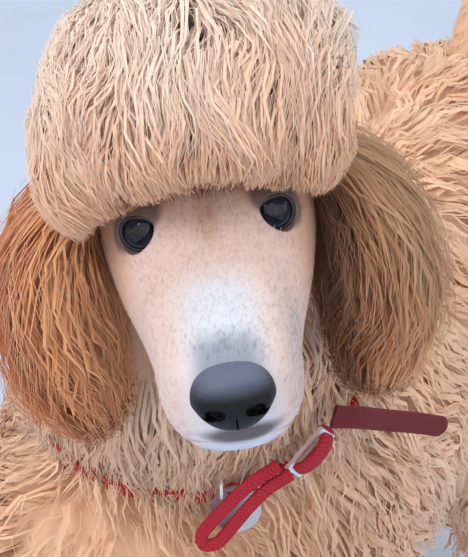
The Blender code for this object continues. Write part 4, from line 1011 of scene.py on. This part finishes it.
def measured_chest(points):
    """As the body, and past 1 where hair would hide the loop, slide, strap's tail or tag."""
    value, out = measured_body(points)
    dog = dog_space(points)
    facing = np.array(TAG_FACING.normalized())
    ahead = (dog - np.array(TAG_AT)) @ facing
    away = np.linalg.norm(dog - np.array(TAG_AT) - ahead[:, None] * facing, axis=1)
    hides = (ahead > -0.0015) & (away < TAG_RADIUS + 0.0005)
    for run, clear in ((LOOP, 0.0052), (STRAP_TAIL, 0.0075), (SLIDE_WEBBING, 0.0085)):
        for spot in np.array(smooth_run(run, 16)):
            hides |= np.linalg.norm(dog - spot, axis=1) < clear
    return np.where(hides, 2.0, value), out


def measured_pompon(points):
    away = points - np.array(DOG @ POMPON_CENTRE)
    return np.linalg.norm(away, axis=1) / POMPON_REACH, unit(away)


def uncut(points):
    """Short fur is never scissored, only pressed off at the floor, and stands on the skin's own way out."""
    return np.where(points[:, 2] < GAP, 2.0, 0.5), None


def measured_brow(points):
    """Clear of the sight of the eyes."""
    head = head_space(points)
    ahead = np.maximum(SIGHT_FROM - head[:, 1], 0)
    low = head[:, 2] < 0.0115 + ahead * math.tan(math.radians(SIGHT_ANGLE))
    return np.where(low, 2.0, 0.5), None


def flat_on(ways, normals):
    return unit(ways - normals * (ways * normals).sum(1)[:, None])


def along_runs(runs, spots):
    """Each run of points read off at its own places, in steps of the run."""
    low = np.clip(spots.astype(int), 0, runs.shape[1] - 2)
    part = (spots - low)[..., None]
    rows = np.arange(len(runs))[:, None]
    return runs[rows, low] * (1 - part) + runs[rows, low + 1] * part


def grown_paths(roots, normals, lie_at, measured, look, draw):
    """Each lock rises from the skin to its own level in the coat, lies along it and waves on its way."""
    count, stations = len(roots), look.rings + 1
    step = look.length * draw.uniform(0.85, 1.12, count)[:, None] / GROWTH_STEPS
    stray = draw.normal(0, look.stray, (count, 3))
    level = draw.uniform(*look.level, count)
    at, out = roots, normals
    value = measured(at)[0]
    run, sides, ups = [at], [], []
    arrived = np.full(count, GROWTH_STEPS)
    for i in range(GROWTH_STEPS + 1):
        t = i / GROWTH_STEPS
        lie = flat_on(flat_on(lie_at(at), out) + stray + look.drift * drifting(at, look.patch), out)
        rise = look.lift[0] * np.clip((level - value) / LEVELLING, -0.3, 1) + look.lift[1] * t
        way = unit(lie + out * rise[:, None] + DOWN * (look.droop * t))
        sides.append(unit(np.cross(way, out + 1e-4)))
        ups.append(np.cross(sides[-1], way))
        at = at + way * step
        value, facing = measured(at)
        out = normals if look.short else facing
        run.append(at)
        arrived = np.where((arrived == GROWTH_STEPS) & (value > level - LEVELLING / 2), i + 1, arrived)
    rise_steps = np.clip(arrived, 0.12 * GROWTH_STEPS, 0.6 * GROWTH_STEPS)[:, None]
    spread = np.linspace(0, 1, stations - 1)[None]
    spots = np.concatenate((np.zeros((count, 1)), rise_steps + (GROWTH_STEPS - rise_steps) * spread), 1)
    if look.short:
        spots = np.broadcast_to(np.linspace(0, GROWTH_STEPS, stations), (count, stations))
    paths = along_runs(np.stack(run[:-1], 1), spots)
    side, up = along_runs(np.stack(sides, 1), spots), along_runs(np.stack(ups, 1), spots)
    t = (spots / GROWTH_STEPS)[..., None]
    curl = look.curl * draw.uniform(0.6, 1.3, (count, 1, 1)) * np.minimum(1, 2.2 * t)
    phase = 2 * np.pi * (2.5 * patchy(roots, look.patch, 31) + draw.uniform(0, 0.22, count))[:, None, None]
    turn = 2 * np.pi * look.turns * draw.uniform(0.9, 1.1, (count, 1, 1)) * t + phase
    swing = (np.cos(turn) - np.cos(phase)) * side + (np.sin(turn) - np.sin(phase)) * up * 0.7
    return paths - roots[:, None] + swing * curl


def trimmed(paths, measured):
    """Paths cut off, as by scissors, where they would leave the coat's outline; lost roots are marked."""
    count, stations = paths.shape[:2]
    fine = 3 * (stations - 1)
    spots = np.linspace(0, 1, fine + 1)
    low = np.minimum((spots * (stations - 1)).astype(int), stations - 2)
    part = (spots * (stations - 1) - low)[None, :, None]
    dense = paths[:, low] * (1 - part) + paths[:, low + 1] * part
    value = measured(dense.reshape(-1, 3))[0].reshape(count, fine + 1)
    outside = value > 1
    first = np.where(outside.any(1), outside.argmax(1), fine + 1)
    reach = np.clip((first - 1) / fine, 0, 1)
    return along_runs(dense, np.linspace(0, 1, stations)[None] * (reach * fine)[:, None]), reach


def make_hair(name, surface, mask, look, lie_at, measured, colour_at, round_axis, draw, weight=None):
    """One region's tufts on the skin."""
    matrix, middle, axis = round_axis
    roots, normals = surface.scatter(mask, look.tufts, draw, weight)
    lock_roots, lock_normals = surface.scatter(mask, look.locks, draw, weight)
    paths = grown_paths(lock_roots, lock_normals, lie_at, measured, look, draw)
    uv = chart(roots, matrix, middle, axis)
    return tuft_mesh(name, roots, normals, lock_roots, paths, look, uv, colour_at(roots), measured, draw)


def make_ear_hair(side, word, draw):
    """The ear's long wavy hair, hung from the flap out and down to the ear's outline."""
    outline = Form(mirrored(EAR, side), 0.0, 2.2, (0, 1, 0))
    flap = flap_form(side)
    look = Look(tufts=3900, locks=1500, rings=7, width=0.0006, clump=0.20, wander=0.0005, under=0.50, broad=3.6)
    spots = {}
    for kind, count in (("tuft", look.tufts), ("lock", look.locks)):
        along = draw.uniform(0.10, 0.86, count)
        angle = draw.uniform(0, 2 * np.pi, count)
        spots[kind] = (along, angle, moved(flap.at(along, angle, np.ones(count)), HEAD_PLACE))
    along, angle, roots = spots["tuft"]
    centre = moved(flap.at(along, angle, np.zeros(len(along))), HEAD_PLACE)
    normals = unit(roots - centre)
    lock_along, lock_angle, lock_roots = spots["lock"]
    stations = look.rings + 1
    t = np.linspace(0, 1, stations)[None]
    run = draw.uniform(0.36, 0.60, look.locks)[:, None]
    down = np.minimum(lock_along[:, None] + run * t, draw.uniform(0.92, 0.995, look.locks)[:, None])
    share = draw.uniform(0.82, 1.0, look.locks)[:, None] * np.minimum(1, 1.6 * t) ** 0.7
    wave = 7 * patchy(lock_roots, 0.03, 9)[:, None] + draw.uniform(0, 0.6, look.locks)[:, None]
    swing = 0.085 * np.sin(2 * np.pi * 2.3 * t + wave) * np.minimum(1, 2 * t)
    outer = outline.at(down, lock_angle[:, None] + swing, np.maximum(share + 0.3 * swing, 0.02))
    full = np.ones((look.locks, stations))
    inner = flap.at(lock_along[:, None] * full, lock_angle[:, None] * full, full)
    hold = (1 - np.minimum(1, 2.5 * t))[..., None]
    paths = moved(outer * (1 - hold) + inner * hold, HEAD_PLACE) - lock_roots[:, None]
    uv = 0.02 + 0.96 * np.stack((angle / (2 * np.pi), along), 1)

    def measured(points):
        return outline.measure(head_space(points))

    colour = ear_markings(moved(outline.at(along, angle, np.ones(len(along))), HEAD_PLACE))
    return tuft_mesh(f"ear_hair_{word}", roots, normals, lock_roots, paths, look, uv, colour, measured, draw)


def from_crown(points):
    return turned(unit(head_space(points) - np.array(CROWN)), HEAD_PLACE)


def down_and_back(points):
    return np.tile((0.0, 0.45, -1.0), (len(points), 1))


def down_the_front(points):
    return np.tile((0.0, -0.05, -1.0), (len(points), 1))


def back_along_face(points):
    return turned(np.tile((0.0, 1.0, 0.12), (len(points), 1)), HEAD_PLACE)


# Materials


def material_of(name, roughness, metallic=0.0):
    made = bpy.data.materials.new(name)
    made.use_nodes = True
    tree = made.node_tree
    shader = tree.nodes["Principled BSDF"]
    shader.inputs["Roughness"].default_value = roughness
    shader.inputs["Metallic"].default_value = metallic
    return made, tree, shader


def node(tree, kind, **values):
    made = tree.nodes.new(kind)
    for key, value in values.items():
        if hasattr(made, key):
            setattr(made, key, value)
        else:
            made.inputs[key.replace("_", " ")].default_value = value
    return made


def coat_material(name, sheen):
    """Hair: the tufts' own tint, broken up by fine strands along each."""
    made, tree, shader = material_of(name, 0.8)
    shader.inputs["Specular IOR Level"].default_value = 0.25
    shader.inputs["Sheen Weight"].default_value = sheen
    shader.inputs["Sheen Roughness"].default_value = 0.4
    tint = node(tree, "ShaderNodeAttribute", attribute_name="tint")
    grain = node(tree, "ShaderNodeUVMap", uv_map="grain")
    mapping = node(tree, "ShaderNodeMapping")
    mapping.inputs["Scale"].default_value = (9, 1.4, 1)
    noise = node(tree, "ShaderNodeTexNoise", Scale=1.0, Detail=2.0)
    ramp = node(tree, "ShaderNodeMapRange")
    ramp.inputs["From Min"].default_value = 0.3
    ramp.inputs["From Max"].default_value = 0.7
    ramp.inputs["To Min"].default_value = 0.90
    ramp.inputs["To Max"].default_value = 1.05
    mix = node(tree, "ShaderNodeVectorMath", operation="MULTIPLY")
    bump = node(tree, "ShaderNodeBump", Strength=0.25, Distance=0.0003)
    link = tree.links.new
    link(grain.outputs["UV"], mapping.inputs["Vector"])
    link(mapping.outputs["Vector"], noise.inputs["Vector"])
    link(noise.outputs["Fac"], ramp.inputs["Value"])
    link(tint.outputs["Color"], mix.inputs[0])
    link(ramp.outputs["Result"], mix.inputs[1])
    link(mix.outputs["Vector"], shader.inputs["Base Color"])
    link(noise.outputs["Fac"], bump.inputs["Height"])
    link(bump.outputs["Normal"], shader.inputs["Normal"])
    return made


def skin_material():
    made, tree, shader = material_of("shaved_fur", 0.8)
    shader.inputs["Specular IOR Level"].default_value = 0.2
    shader.inputs["Sheen Weight"].default_value = 0.25
    tint = node(tree, "ShaderNodeAttribute", attribute_name="tint")
    place = node(tree, "ShaderNodeTexCoord")
    noise = node(tree, "ShaderNodeTexNoise", Scale=900.0, Detail=3.0)
    ramp = node(tree, "ShaderNodeMapRange")
    ramp.inputs["To Min"].default_value = 0.90
    ramp.inputs["To Max"].default_value = 1.06
    mix = node(tree, "ShaderNodeVectorMath", operation="MULTIPLY")
    bump = node(tree, "ShaderNodeBump", Strength=0.5, Distance=0.0004)
    link = tree.links.new
    link(place.outputs["Object"], noise.inputs["Vector"])
    link(noise.outputs["Fac"], ramp.inputs["Value"])
    link(tint.outputs["Color"], mix.inputs[0])
    link(ramp.outputs["Result"], mix.inputs[1])
    link(mix.outputs["Vector"], shader.inputs["Base Color"])
    link(noise.outputs["Fac"], bump.inputs["Height"])
    link(bump.outputs["Normal"], shader.inputs["Normal"])
    return made


def plain_material(name, colour, roughness, metallic=0.0, scale=600.0, strength=0.2, coat=0.0):
    """A colour with fine uneven grain."""
    made, tree, shader = material_of(name, roughness, metallic)
    shader.inputs["Coat Weight"].default_value = coat
    place = node(tree, "ShaderNodeTexCoord")
    noise = node(tree, "ShaderNodeTexNoise", Scale=scale, Detail=3.0)
    ramp = node(tree, "ShaderNodeMix", data_type="RGBA")
    ramp.inputs["A"].default_value = (*(colour * 0.85), 1)
    ramp.inputs["B"].default_value = (*(np.minimum(colour * 1.15, 1)), 1)
    bump = node(tree, "ShaderNodeBump", Strength=strength, Distance=0.0003)
    link = tree.links.new
    link(place.outputs["Object"], noise.inputs["Vector"])
    link(noise.outputs["Fac"], ramp.inputs["Factor"])
    link(ramp.outputs["Result"], shader.inputs["Base Color"])
    link(noise.outputs["Fac"], bump.inputs["Height"])
    link(bump.outputs["Normal"], shader.inputs["Normal"])
    return made


def tinted_material(name, roughness, scale, strength, cells=False):
    """A wet or leathery surface in its own tint, finely pebbled."""
    made, tree, shader = material_of(name, roughness)
    shader.inputs["Specular IOR Level"].default_value = 0.3 if cells else 0.5
    tint = node(tree, "ShaderNodeAttribute", attribute_name="tint")
    place = node(tree, "ShaderNodeTexCoord")
    grain = node(tree, "ShaderNodeTexVoronoi" if cells else "ShaderNodeTexNoise", Scale=scale)
    bump = node(tree, "ShaderNodeBump", Strength=strength, Distance=0.0003)
    link = tree.links.new
    link(tint.outputs["Color"], shader.inputs["Base Color"])
    link(place.outputs["Object"], grain.inputs["Vector"])
    link(grain.outputs["Distance" if cells else "Fac"], bump.inputs["Height"])
    link(bump.outputs["Normal"], shader.inputs["Normal"])
    return made


def set_tint(target, colour):
    rgba = np.concatenate((np.clip(colour, 0, 1), np.ones((len(colour), 1))), 1).astype(np.float32)
    target.data.color_attributes.new("tint", "FLOAT_COLOR", "POINT").data.foreach_set("color", rgba.ravel())


def places_of(target):
    points = np.empty(len(target.data.vertices) * 3, np.float32)
    target.data.vertices.foreach_get("co", points)
    return points.reshape(-1, 3).astype(float)


def dressed(piece, material, slot, *replaced):
    """Gives a piece its material and its body, and hides the nodes that it stands for; the slot is not used."""
    piece.data.materials.clear()
    piece.data.materials.append(material)
    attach(piece, "root")
    if replaced:
        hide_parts(*replaced)
    return piece


# The eyes, nose and collar


def make_eye(side, word):
    bm = bmesh.new()
    bmesh.ops.create_uvsphere(bm, u_segments=64, v_segments=48, radius=EYE_RADIUS)
    for v in bm.verts:
        bulge = max(0.0, v.co.z / EYE_RADIUS - 0.72) / 0.28
        v.co += v.co.normalized() * (0.0005 * bulge)
    bmesh.ops.rotate(bm, matrix=Matrix.Rotation(math.radians(90), 3, "X"), verts=bm.verts)
    made = object_of(f"eyeball_{word}", bm, eye_place(side))
    ways = unit(moved(places_of(made), eye_place(side).inverted()))
    angle = np.degrees(np.arccos(np.clip(-ways[:, 1], -1, 1)))
    colour = blended(np.tile(PUPIL, (len(ways), 1)), IRIS, eased(15, 20, angle))
    # painted reflection: a pale blue crescent low on the eye, as the wet lower lid reflects light
    reflected_crescent = eased(24, 30, angle) * eased(40, 34, angle) * eased(0.0, -0.5, ways[:, 2])
    colour = blended(colour, PUPIL, eased(33, 40, angle))
    set_tint(made, blended(colour, EYE_PAINTED_REFLECTION, 0.8 * reflected_crescent))
    return made


def make_eyelids(side, word):
    """The dark rim round an eye, a little drawn out at its inner corner."""
    rings = []
    for i in range(64):
        turn = 2 * math.pi * i / 64
        c, s = math.cos(turn), math.sin(turn)
        corner = LID_CORNER * max(0.0, -c * side) ** 10
        angle = math.radians(LID_ANGLES[0] * abs(c) + LID_ANGLES[1 if s > 0 else 2] * (1 - abs(c)) + corner)
        out = Vector((math.sin(angle) * c, -math.cos(angle), math.sin(angle) * s))
        away = Vector((math.cos(angle) * c, math.sin(angle), math.cos(angle) * s))
        ring = []
        for k in range(12):
            bend = 2 * math.pi * k / 12
            lift = EYE_RADIUS + LID_LIFT + LID_THICKNESS * math.sin(bend)
            ring.append(out * lift + away * (LID_WIDTH * math.cos(bend)))
        rings.append(ring)
    made = object_of(f"eyelids_{word}", loft(bmesh.new(), rings, closed=True), eye_place(side))
    set_tint(made, np.tile(EYE_SHADE * 0.35, (len(made.data.vertices), 1)))
    return made


def make_nose():
    nose = object_of("nose_leather", nose_form(-GAP))
    cutters, holes = [], []
    for _, side in SIDES:
        for (x, y, z), radii in (NOSTRIL, NOSTRIL_SLIT):
            centre = NOSE_CENTRE + Vector((x * side, y, z))
            holes.append((centre, radii))
            cutters.append(object_of("nostril", ball(centre, radii), HEAD_PLACE))
    cutters.append(object_of("philtrum", ball(NOSE_CENTRE + Vector(PHILTRUM[0]), PHILTRUM[1]), HEAD_PLACE))
    join_pieces(nose, cutters, "DIFFERENCE")
    nose.data.shade_smooth()
    head = head_space(places_of(nose))
    height = (head[:, 2] - NOSE_CENTRE.z) / NOSE_RADII.z
    # painted light: the nose painted lighter and bluish towards its top, where its upper plane catches the light
    colour = blended(np.tile(NOSE_DARK, (len(head), 1)), NOSE_PAINTED_LIGHT, eased(0.25, 0.95, height))
    # painted shade: the nostrils painted near black inside
    for centre, radii in holes:
        inside = in_ball(head, centre, [r * 1.03 for r in radii])
        colour = np.where(inside[:, None], PUPIL * 0.3, colour)
    set_tint(nose, colour)
    return nose


def woven(name, path, facing, width, thickness, count, relief, colour, rounded_end=False):
    """Webbing along a path, its ribs raised in a herringbone."""
    run = [Vector(p) for p in smooth_run(path, count)]
    rings, shades = [], []
    covered = 0.0
    whole = sum((b - a).length for a, b in zip(run, run[1:]))
    for i, at in enumerate(run):
        along = (run[min(i + 1, count - 1)] - run[max(i - 1, 0)]).normalized()
        across = along.cross(facing).normalized()
        out = across.cross(along).normalized()
        left = (whole - covered) / (width / 2)
        drawn = math.sqrt(max(0.02, 1 - (1 - left) ** 2)) if rounded_end and left < 1 else 1.0
        ring = []
        for k in range(20):
            turn = 2 * math.pi * k / 20
            c, s = math.cos(turn), math.sin(turn)
            reach = (abs(c) ** 4 + abs(s) ** 4) ** -0.25
            rib = abs(math.sin(math.pi * (covered / RIB_PITCH + RIB_SLANT * abs(c * reach))))
            wide, deep = width / 2 * drawn + relief * rib, thickness / 2 + relief * rib
            ring.append(at + across * (c * reach * wide) + out * (s * reach * deep))
            # painted shade: the webbing darkened towards the valleys between its ribs
            shades.append(VALLEY_SHADE + (1 - VALLEY_SHADE) * rib)
        rings.append(ring)
        if i + 1 < count:
            covered += (run[i + 1] - at).length
    made = object_of(name, loft(bmesh.new(), rings), DOG)
    set_tint(made, np.array(shades)[:, None] * colour)
    return made


def camera_ways():
    turn, rise = math.radians(CAMERA_TURN), math.radians(CAMERA_RISE)
    back = Vector((math.sin(turn) * math.cos(rise), -math.cos(turn) * math.cos(rise), math.sin(rise)))
    right = (-back).cross(Vector((0, 0, 1))).normalized()
    return right, back.cross(right), back


def make_camera():
    right, up, back = camera_ways()
    across, drop, ahead = EYES_FROM_CAMERA
    eyes = HEAD_PLACE @ Vector((0, 0, 0))
    seat = bpy.data.cameras.new("camera")
    seat.sensor_width = SENSOR
    seat.lens = FOCAL_PIXELS / PICTURE_HEIGHT * SENSOR
    seat.clip_start = 0.01
    camera = bpy.data.objects.new("camera", seat)
    bpy.context.scene.collection.objects.link(camera)
    place = eyes - (right * across - up * drop - back * ahead)
    camera.matrix_world = Matrix.Translation(place) @ Matrix((right, up, back)).transposed().to_4x4()
    bpy.context.scene.camera = camera
    return camera


def make_light(name, place, aim, size, power, colour):
    lamp = bpy.data.lights.new(name, "AREA")
    lamp.shape = "DISK"
    lamp.size = size
    lamp.energy = power
    lamp.color = colour
    made = bpy.data.objects.new(name, lamp)
    bpy.context.scene.collection.objects.link(made)
    way = Vector(place) - Vector(aim)
    made.matrix_world = Matrix.Translation(place) @ way.to_track_quat("Z", "Y").to_matrix().to_4x4()


def make_studio():
    bm = bmesh.new()
    bmesh.ops.create_grid(bm, x_segments=1, y_segments=1, size=6)
    floor = object_of("floor", bm)
    floor.data.materials.append(plain_material("pale_floor", paint(192, 208, 234), 0.8, scale=3.0, strength=0.02))
    world = bpy.data.worlds.new("studio")
    world.use_nodes = True
    sky = world.node_tree.nodes["Background"]
    sky.inputs["Color"].default_value = (1.0, 0.98, 0.96, 1)
    sky.inputs["Strength"].default_value = 0.92
    bpy.context.scene.world = world
    bpy.context.scene.view_settings.view_transform = "Standard"
    aim = HEAD_PLACE @ Vector((0, 0, 0))
    make_light("key", aim + Vector((-0.7, -1.3, 2.0)), aim, 1.4, 24, (1.0, 0.98, 0.96))
    make_light("fill", aim + Vector((1.8, -0.8, 0.6)), aim, 1.4, 2, (0.95, 0.97, 1.0))
    make_light("back", aim + Vector((0.6, 2.0, 1.4)), aim, 1.6, 8, (1.0, 0.98, 0.96))


def main():
    make_camera()
    make_studio()
    fur = skin_material()
    hair = coat_material("curly_coat", 0.20)
    ear_coat = coat_material("ear_coat", 0.15)
    fine_fur = coat_material("fine_fur", 0.30)
    skin = make_skin()
    set_tint(skin, markings(places_of(skin)))
    surface = Surface(skin)
    dog, head = surface.dog, surface.head
    on_head = beyond(dog, NECK_TOP) & (dog[:, 1] < HEAD_BACK)
    neck = beyond(dog, NECK_BASE) & ~on_head
    above_brow = clear_of_face(head)
    in_foreleg = (np.abs(dog[:, 0]) > ELBOW_INSIDE) & (np.abs(dog[:, 1]) < ELBOW_REACH) & (dog[:, 2] < ELBOW_HEIGHT)
    in_thigh = (dog[:, 1] > THIGH_FRONT) & (dog[:, 2] < THIGH_CUT_HEIGHT + THIGH_CUT_SLOPE * np.abs(dog[:, 0]))
    pompon = np.linalg.norm(dog - np.array(POMPON_CENTRE), axis=1) < POMPON_RADIUS * POMPON_CORE + 0.004
    tail = ((dog[:, 1] > 0.35) & (dog[:, 2] > 0.56)) & ~pompon
    feet = dog[:, 2] < ANKLE
    ears = np.zeros(len(dog), bool)
    for _, side in SIDES:
        ears |= Form([(*r[:3], r[3] * w + 0.003, r[4] * d + 0.003) for r, w, d in zip(mirrored(EAR, side), FLAP_SHARE, FLAP_DEPTH)], 0.0, 2.2, (0, 1, 0)).holds(head)
    rest = ~(on_head | neck | in_foreleg | in_thigh | pompon | tail | feet)
    face = on_head & ~above_brow & ~ears
    pieces = []
    draw = np.random.default_rng(5)
    under_knot = topknot_outline.measure(head)[0] < 1
    crown = on_head & above_brow & ~ears & under_knot
    neck |= on_head & ~ears & ~under_knot & (head[:, 1] > NAPE_FROM)
    look = Look(
        tufts=6200, locks=2300, rings=5, width=0.0005, length=0.080, lift=(2.2, 0.14), droop=0.10, stray=0.05,
        drift=0.55, patch=0.050, curl=0.0026, turns=2.0, clump=0.15, wander=0.0004, under=0.50, broad=3.6,
        level=(0.90, 0.995),
    )
    parts = {
        "right": crown & (head[:, 0] < 0) & (head[:, 1] < 0.075),
        "left": crown & (head[:, 0] >= 0) & (head[:, 1] < 0.075),
        "back": crown & (head[:, 1] >= 0.075),
    }
    on_top = 1 + 1.6 * eased(0.0, 0.035, head[:, 2])
    for word, mask in parts.items():
        if word == "back":
            look.tufts = 3000
        made = make_hair(
            f"topknot_hair_{word}", surface, mask, look, from_crown, measured_topknot, markings,
            (HEAD_PLACE, (0, 0, 0), "Y"), draw, on_top,
        )
        pieces.append((made, hair, "coat", *(("topknot",) if word == "back" else ())))
    for word, side in SIDES:
        pieces.append((make_ear_hair(side, word, draw), ear_coat, "ear_coat", f"ear_{word}"))
    look = Look(
        tufts=6900, locks=2200, rings=5, width=0.0007, length=0.068, lift=(1.5, 0.08), droop=0.2, stray=0.06,
        drift=0.55, patch=0.05, curl=0.0030, turns=2.0, clump=0.20, wander=0.0005, under=0.50, broad=4.0,
        level=(0.92, 0.99),
    )
    middle, way = collar_plane()
    above = (dog - np.array(middle)) @ np.array(way.normalized())
    over_collar = 1 + 8 * ((above > 0.018) & (above < 0.060))
    made = make_hair(
        "neck_hair", surface, neck, look, down_the_front, measured_chest, markings, (DOG, (0.01, -0.045, 0), "Z"),
        draw, over_collar,
    )
    pieces.append((made, hair, "coat", "neck"))
    look = Look(
        tufts=6400, locks=2100, rings=4, width=0.0013, length=0.056, lift=(1.3, 0.08), droop=0.2, stray=0.07,
        drift=0.60, patch=0.06, curl=0.0036, turns=1.5, clump=0.20, wander=0.0006, under=0.5, broad=3.6,
        level=(0.90, 0.99),
    )
    chest = rest & (dog[:, 1] < CHEST_BACK)
    made = make_hair(
        "body_hair", surface, rest & ~chest, look, down_and_back, measured_body, markings,
        (DOG, (0, 0, 0.45), "Y"), draw,
    )
    pieces.append((made, hair, "coat", "torso"))
    look.tufts, look.locks = 5600, 1900
    made = make_hair(
        "chest_hair", surface, chest, look, down_the_front, measured_chest, markings, (DOG, (0, 0, 0.45), "Y"), draw
    )
    pieces.append((made, hair, "coat"))
    for word, side in SIDES:
        half = dog[:, 0] * side > 0
        for limb, count, mask, y, nodes in (
            ("foreleg", 1250, in_foreleg & half & ~feet, 0.0, ("foreleg",)),
            ("hindleg", 2000, in_thigh & half & ~feet & ~in_foreleg, 0.31, ("thigh", "hindleg")),
        ):
            look = Look(
                tufts=count, locks=count // 2, rings=4, width=0.0026, length=0.044, lift=(1.3, 0.12), droop=0.2,
                stray=0.15, drift=0.7, patch=0.05, curl=0.0034, turns=1.3, clump=0.25, wander=0.0010, under=0.45,
                broad=2.4,
            )
            made = make_hair(
                f"{limb}_hair_{word}", surface, mask, look, down_and_back, measured_body, markings,
                (DOG, (0.08 * side, y, 0), "Z"), draw,
            )
            pieces.append((made, hair, "coat", *(f"{node_name}_{word}" for node_name in nodes)))
    look = Look(
        tufts=2000, locks=700, rings=4, width=0.0026, length=0.050, lift=(2.6, 0.1), droop=0.1, stray=0.15,
        drift=0.6, curl=0.0030, turns=1.3, clump=0.25, wander=0.0010, under=0.5, broad=2.6, level=(0.72, 0.98),
    )
    made = make_hair(
        "pompon_hair", surface, pompon, look, down_and_back, measured_pompon, markings, (DOG, POMPON_CENTRE, "Z"), draw
    )
    pieces.append((made, hair, "coat", "tail_pompon"))
    look = Look(
        tufts=8500, locks=1500, rings=2, width=0.0004, length=0.0040, lift=(0.10, 0.02), droop=0.0, stray=0.12,
        drift=0.2, patch=0.02, clump=0.1, wander=0.0001, short=True,
    )
    clear = face & (head[:, 1] > -0.102)
    for _, side in SIDES:
        away = np.linalg.norm(surface.middles - np.array(eye_place(side).translation), axis=1)
        clear &= away > EYE_RADIUS + np.where(head[:, 1] < EYE_CENTRE.y, 0.0090, 0.0040)
    made = make_hair(
        "face_fur", surface, clear, look, back_along_face, uncut, markings, (HEAD_PLACE, (0, 0, -0.02), "Y"), draw
    )
    pieces.append((made, fine_fur, "shaved_coat"))
    look = Look(
        tufts=6000, locks=1200, rings=2, width=0.0010, length=0.0080, lift=(0.20, 0.05), droop=0.0, stray=0.15,
        drift=0.3, patch=0.02, clump=0.1, wander=0.0002, short=True,
    )
    made = make_hair(
        "paw_and_tail_fur", surface, tail | (feet & (dog[:, 2] > SOLE)), look, down_and_back, uncut, markings,
        (DOG, (0, 0, 0), "Z"), draw,
    )
    pieces.append((made, fine_fur, "shaved_coat"))
    look = Look(
        tufts=1600, locks=300, rings=3, width=0.0008, length=0.016, lift=(0.5, 0.9), droop=0.0, stray=0.25,
        drift=0.4, patch=0.02, curl=0.0010, clump=0.3, wander=0.0006, short=True,
    )
    roof = head[:, 2] - brow_roof(head)
    brow = on_head & ~ears & (np.abs(roof) < 0.008) & (head[:, 1] < FACE_BACK)
    made = make_hair(
        "brow_hair", surface, brow, look, back_along_face, measured_brow, markings,
        (HEAD_PLACE, (0, 0, -0.02), "Y"), draw,
    )
    pieces.append((made, hair, "coat"))
    replaced = ["head", "tail"] + [f"{end}paw_{word}" for end in ("fore", "hind") for word, _ in SIDES]
    dressed(skin, fur, "shaved_coat", *replaced)
    for piece, material, slot, *nodes in pieces:
        dressed(piece, material, slot, *nodes)
    wet = tinted_material("wet_eye", 0.06, 60.0, 0.02)
    rim = tinted_material("lid_skin", 0.35, 1600.0, 0.4)
    for word, side in SIDES:
        dressed(make_eye(side, word), wet, "eye", f"eye_{word}")
        dressed(make_eyelids(side, word), rim, "nose_leather")
    leather = tinted_material("pebbled_leather", 0.46, 900.0, 0.8, cells=True)
    dressed(make_nose(), leather, "nose_leather", "nose")
    webbing = plain_material("red_webbing", RED, 0.7, scale=1500.0, strength=0.4)
    braid = tinted_material("red_braid", 0.7, 1500.0, 0.4)
    # painted shade: the strap's tail in a darker copy of the strap's red
    tail_of_strap = woven(
        "strap_tail", STRAP_TAIL, TAIL_FACING, STRAP_WIDTH, STRAP_THICKNESS, 200, 0.00008, STRAP_SHADED_RED, rounded_end=True
    )
    dressed(tail_of_strap, braid, "webbing", "collar_tail")
    loop = woven("braided_loop", LOOP, LOOP_FACING, LOOP_WIDTH, LOOP_THICKNESS, 400, 0.00030, RED)
    dressed(loop, braid, "webbing", "collar_loop")
    bulge = woven(
        "slide_webbing", SLIDE_WEBBING, SLIDE_OUT, SLIDE_BULGE_WIDTH, SLIDE_BULGE_THICKNESS, 120, 0.00012, RED
    )
    dressed(bulge, braid, "webbing")
    frame["nodes"]["collar_strap"].data.materials.clear()
    frame["nodes"]["collar_strap"].data.materials.append(webbing)
    steel = plain_material("bright_wire", paint(232, 234, 240), 0.42, 1.0, strength=0.05)
    satin = plain_material("satin_tag", paint(206, 202, 206), 0.45, 1.0, scale=900.0, strength=0.05)
    for word, metal in (("collar_slide", steel), ("tag_ring", steel), ("tag", satin)):
        frame["nodes"][word].data.materials.clear()
        frame["nodes"][word].data.materials.append(metal)
    horn = plain_material("horn", paint(60, 54, 50), 0.4)
    for name, thing in frame["nodes"].items():
        if "claw" in name:
            thing.data.materials.clear()
            thing.data.materials.append(horn)


main()
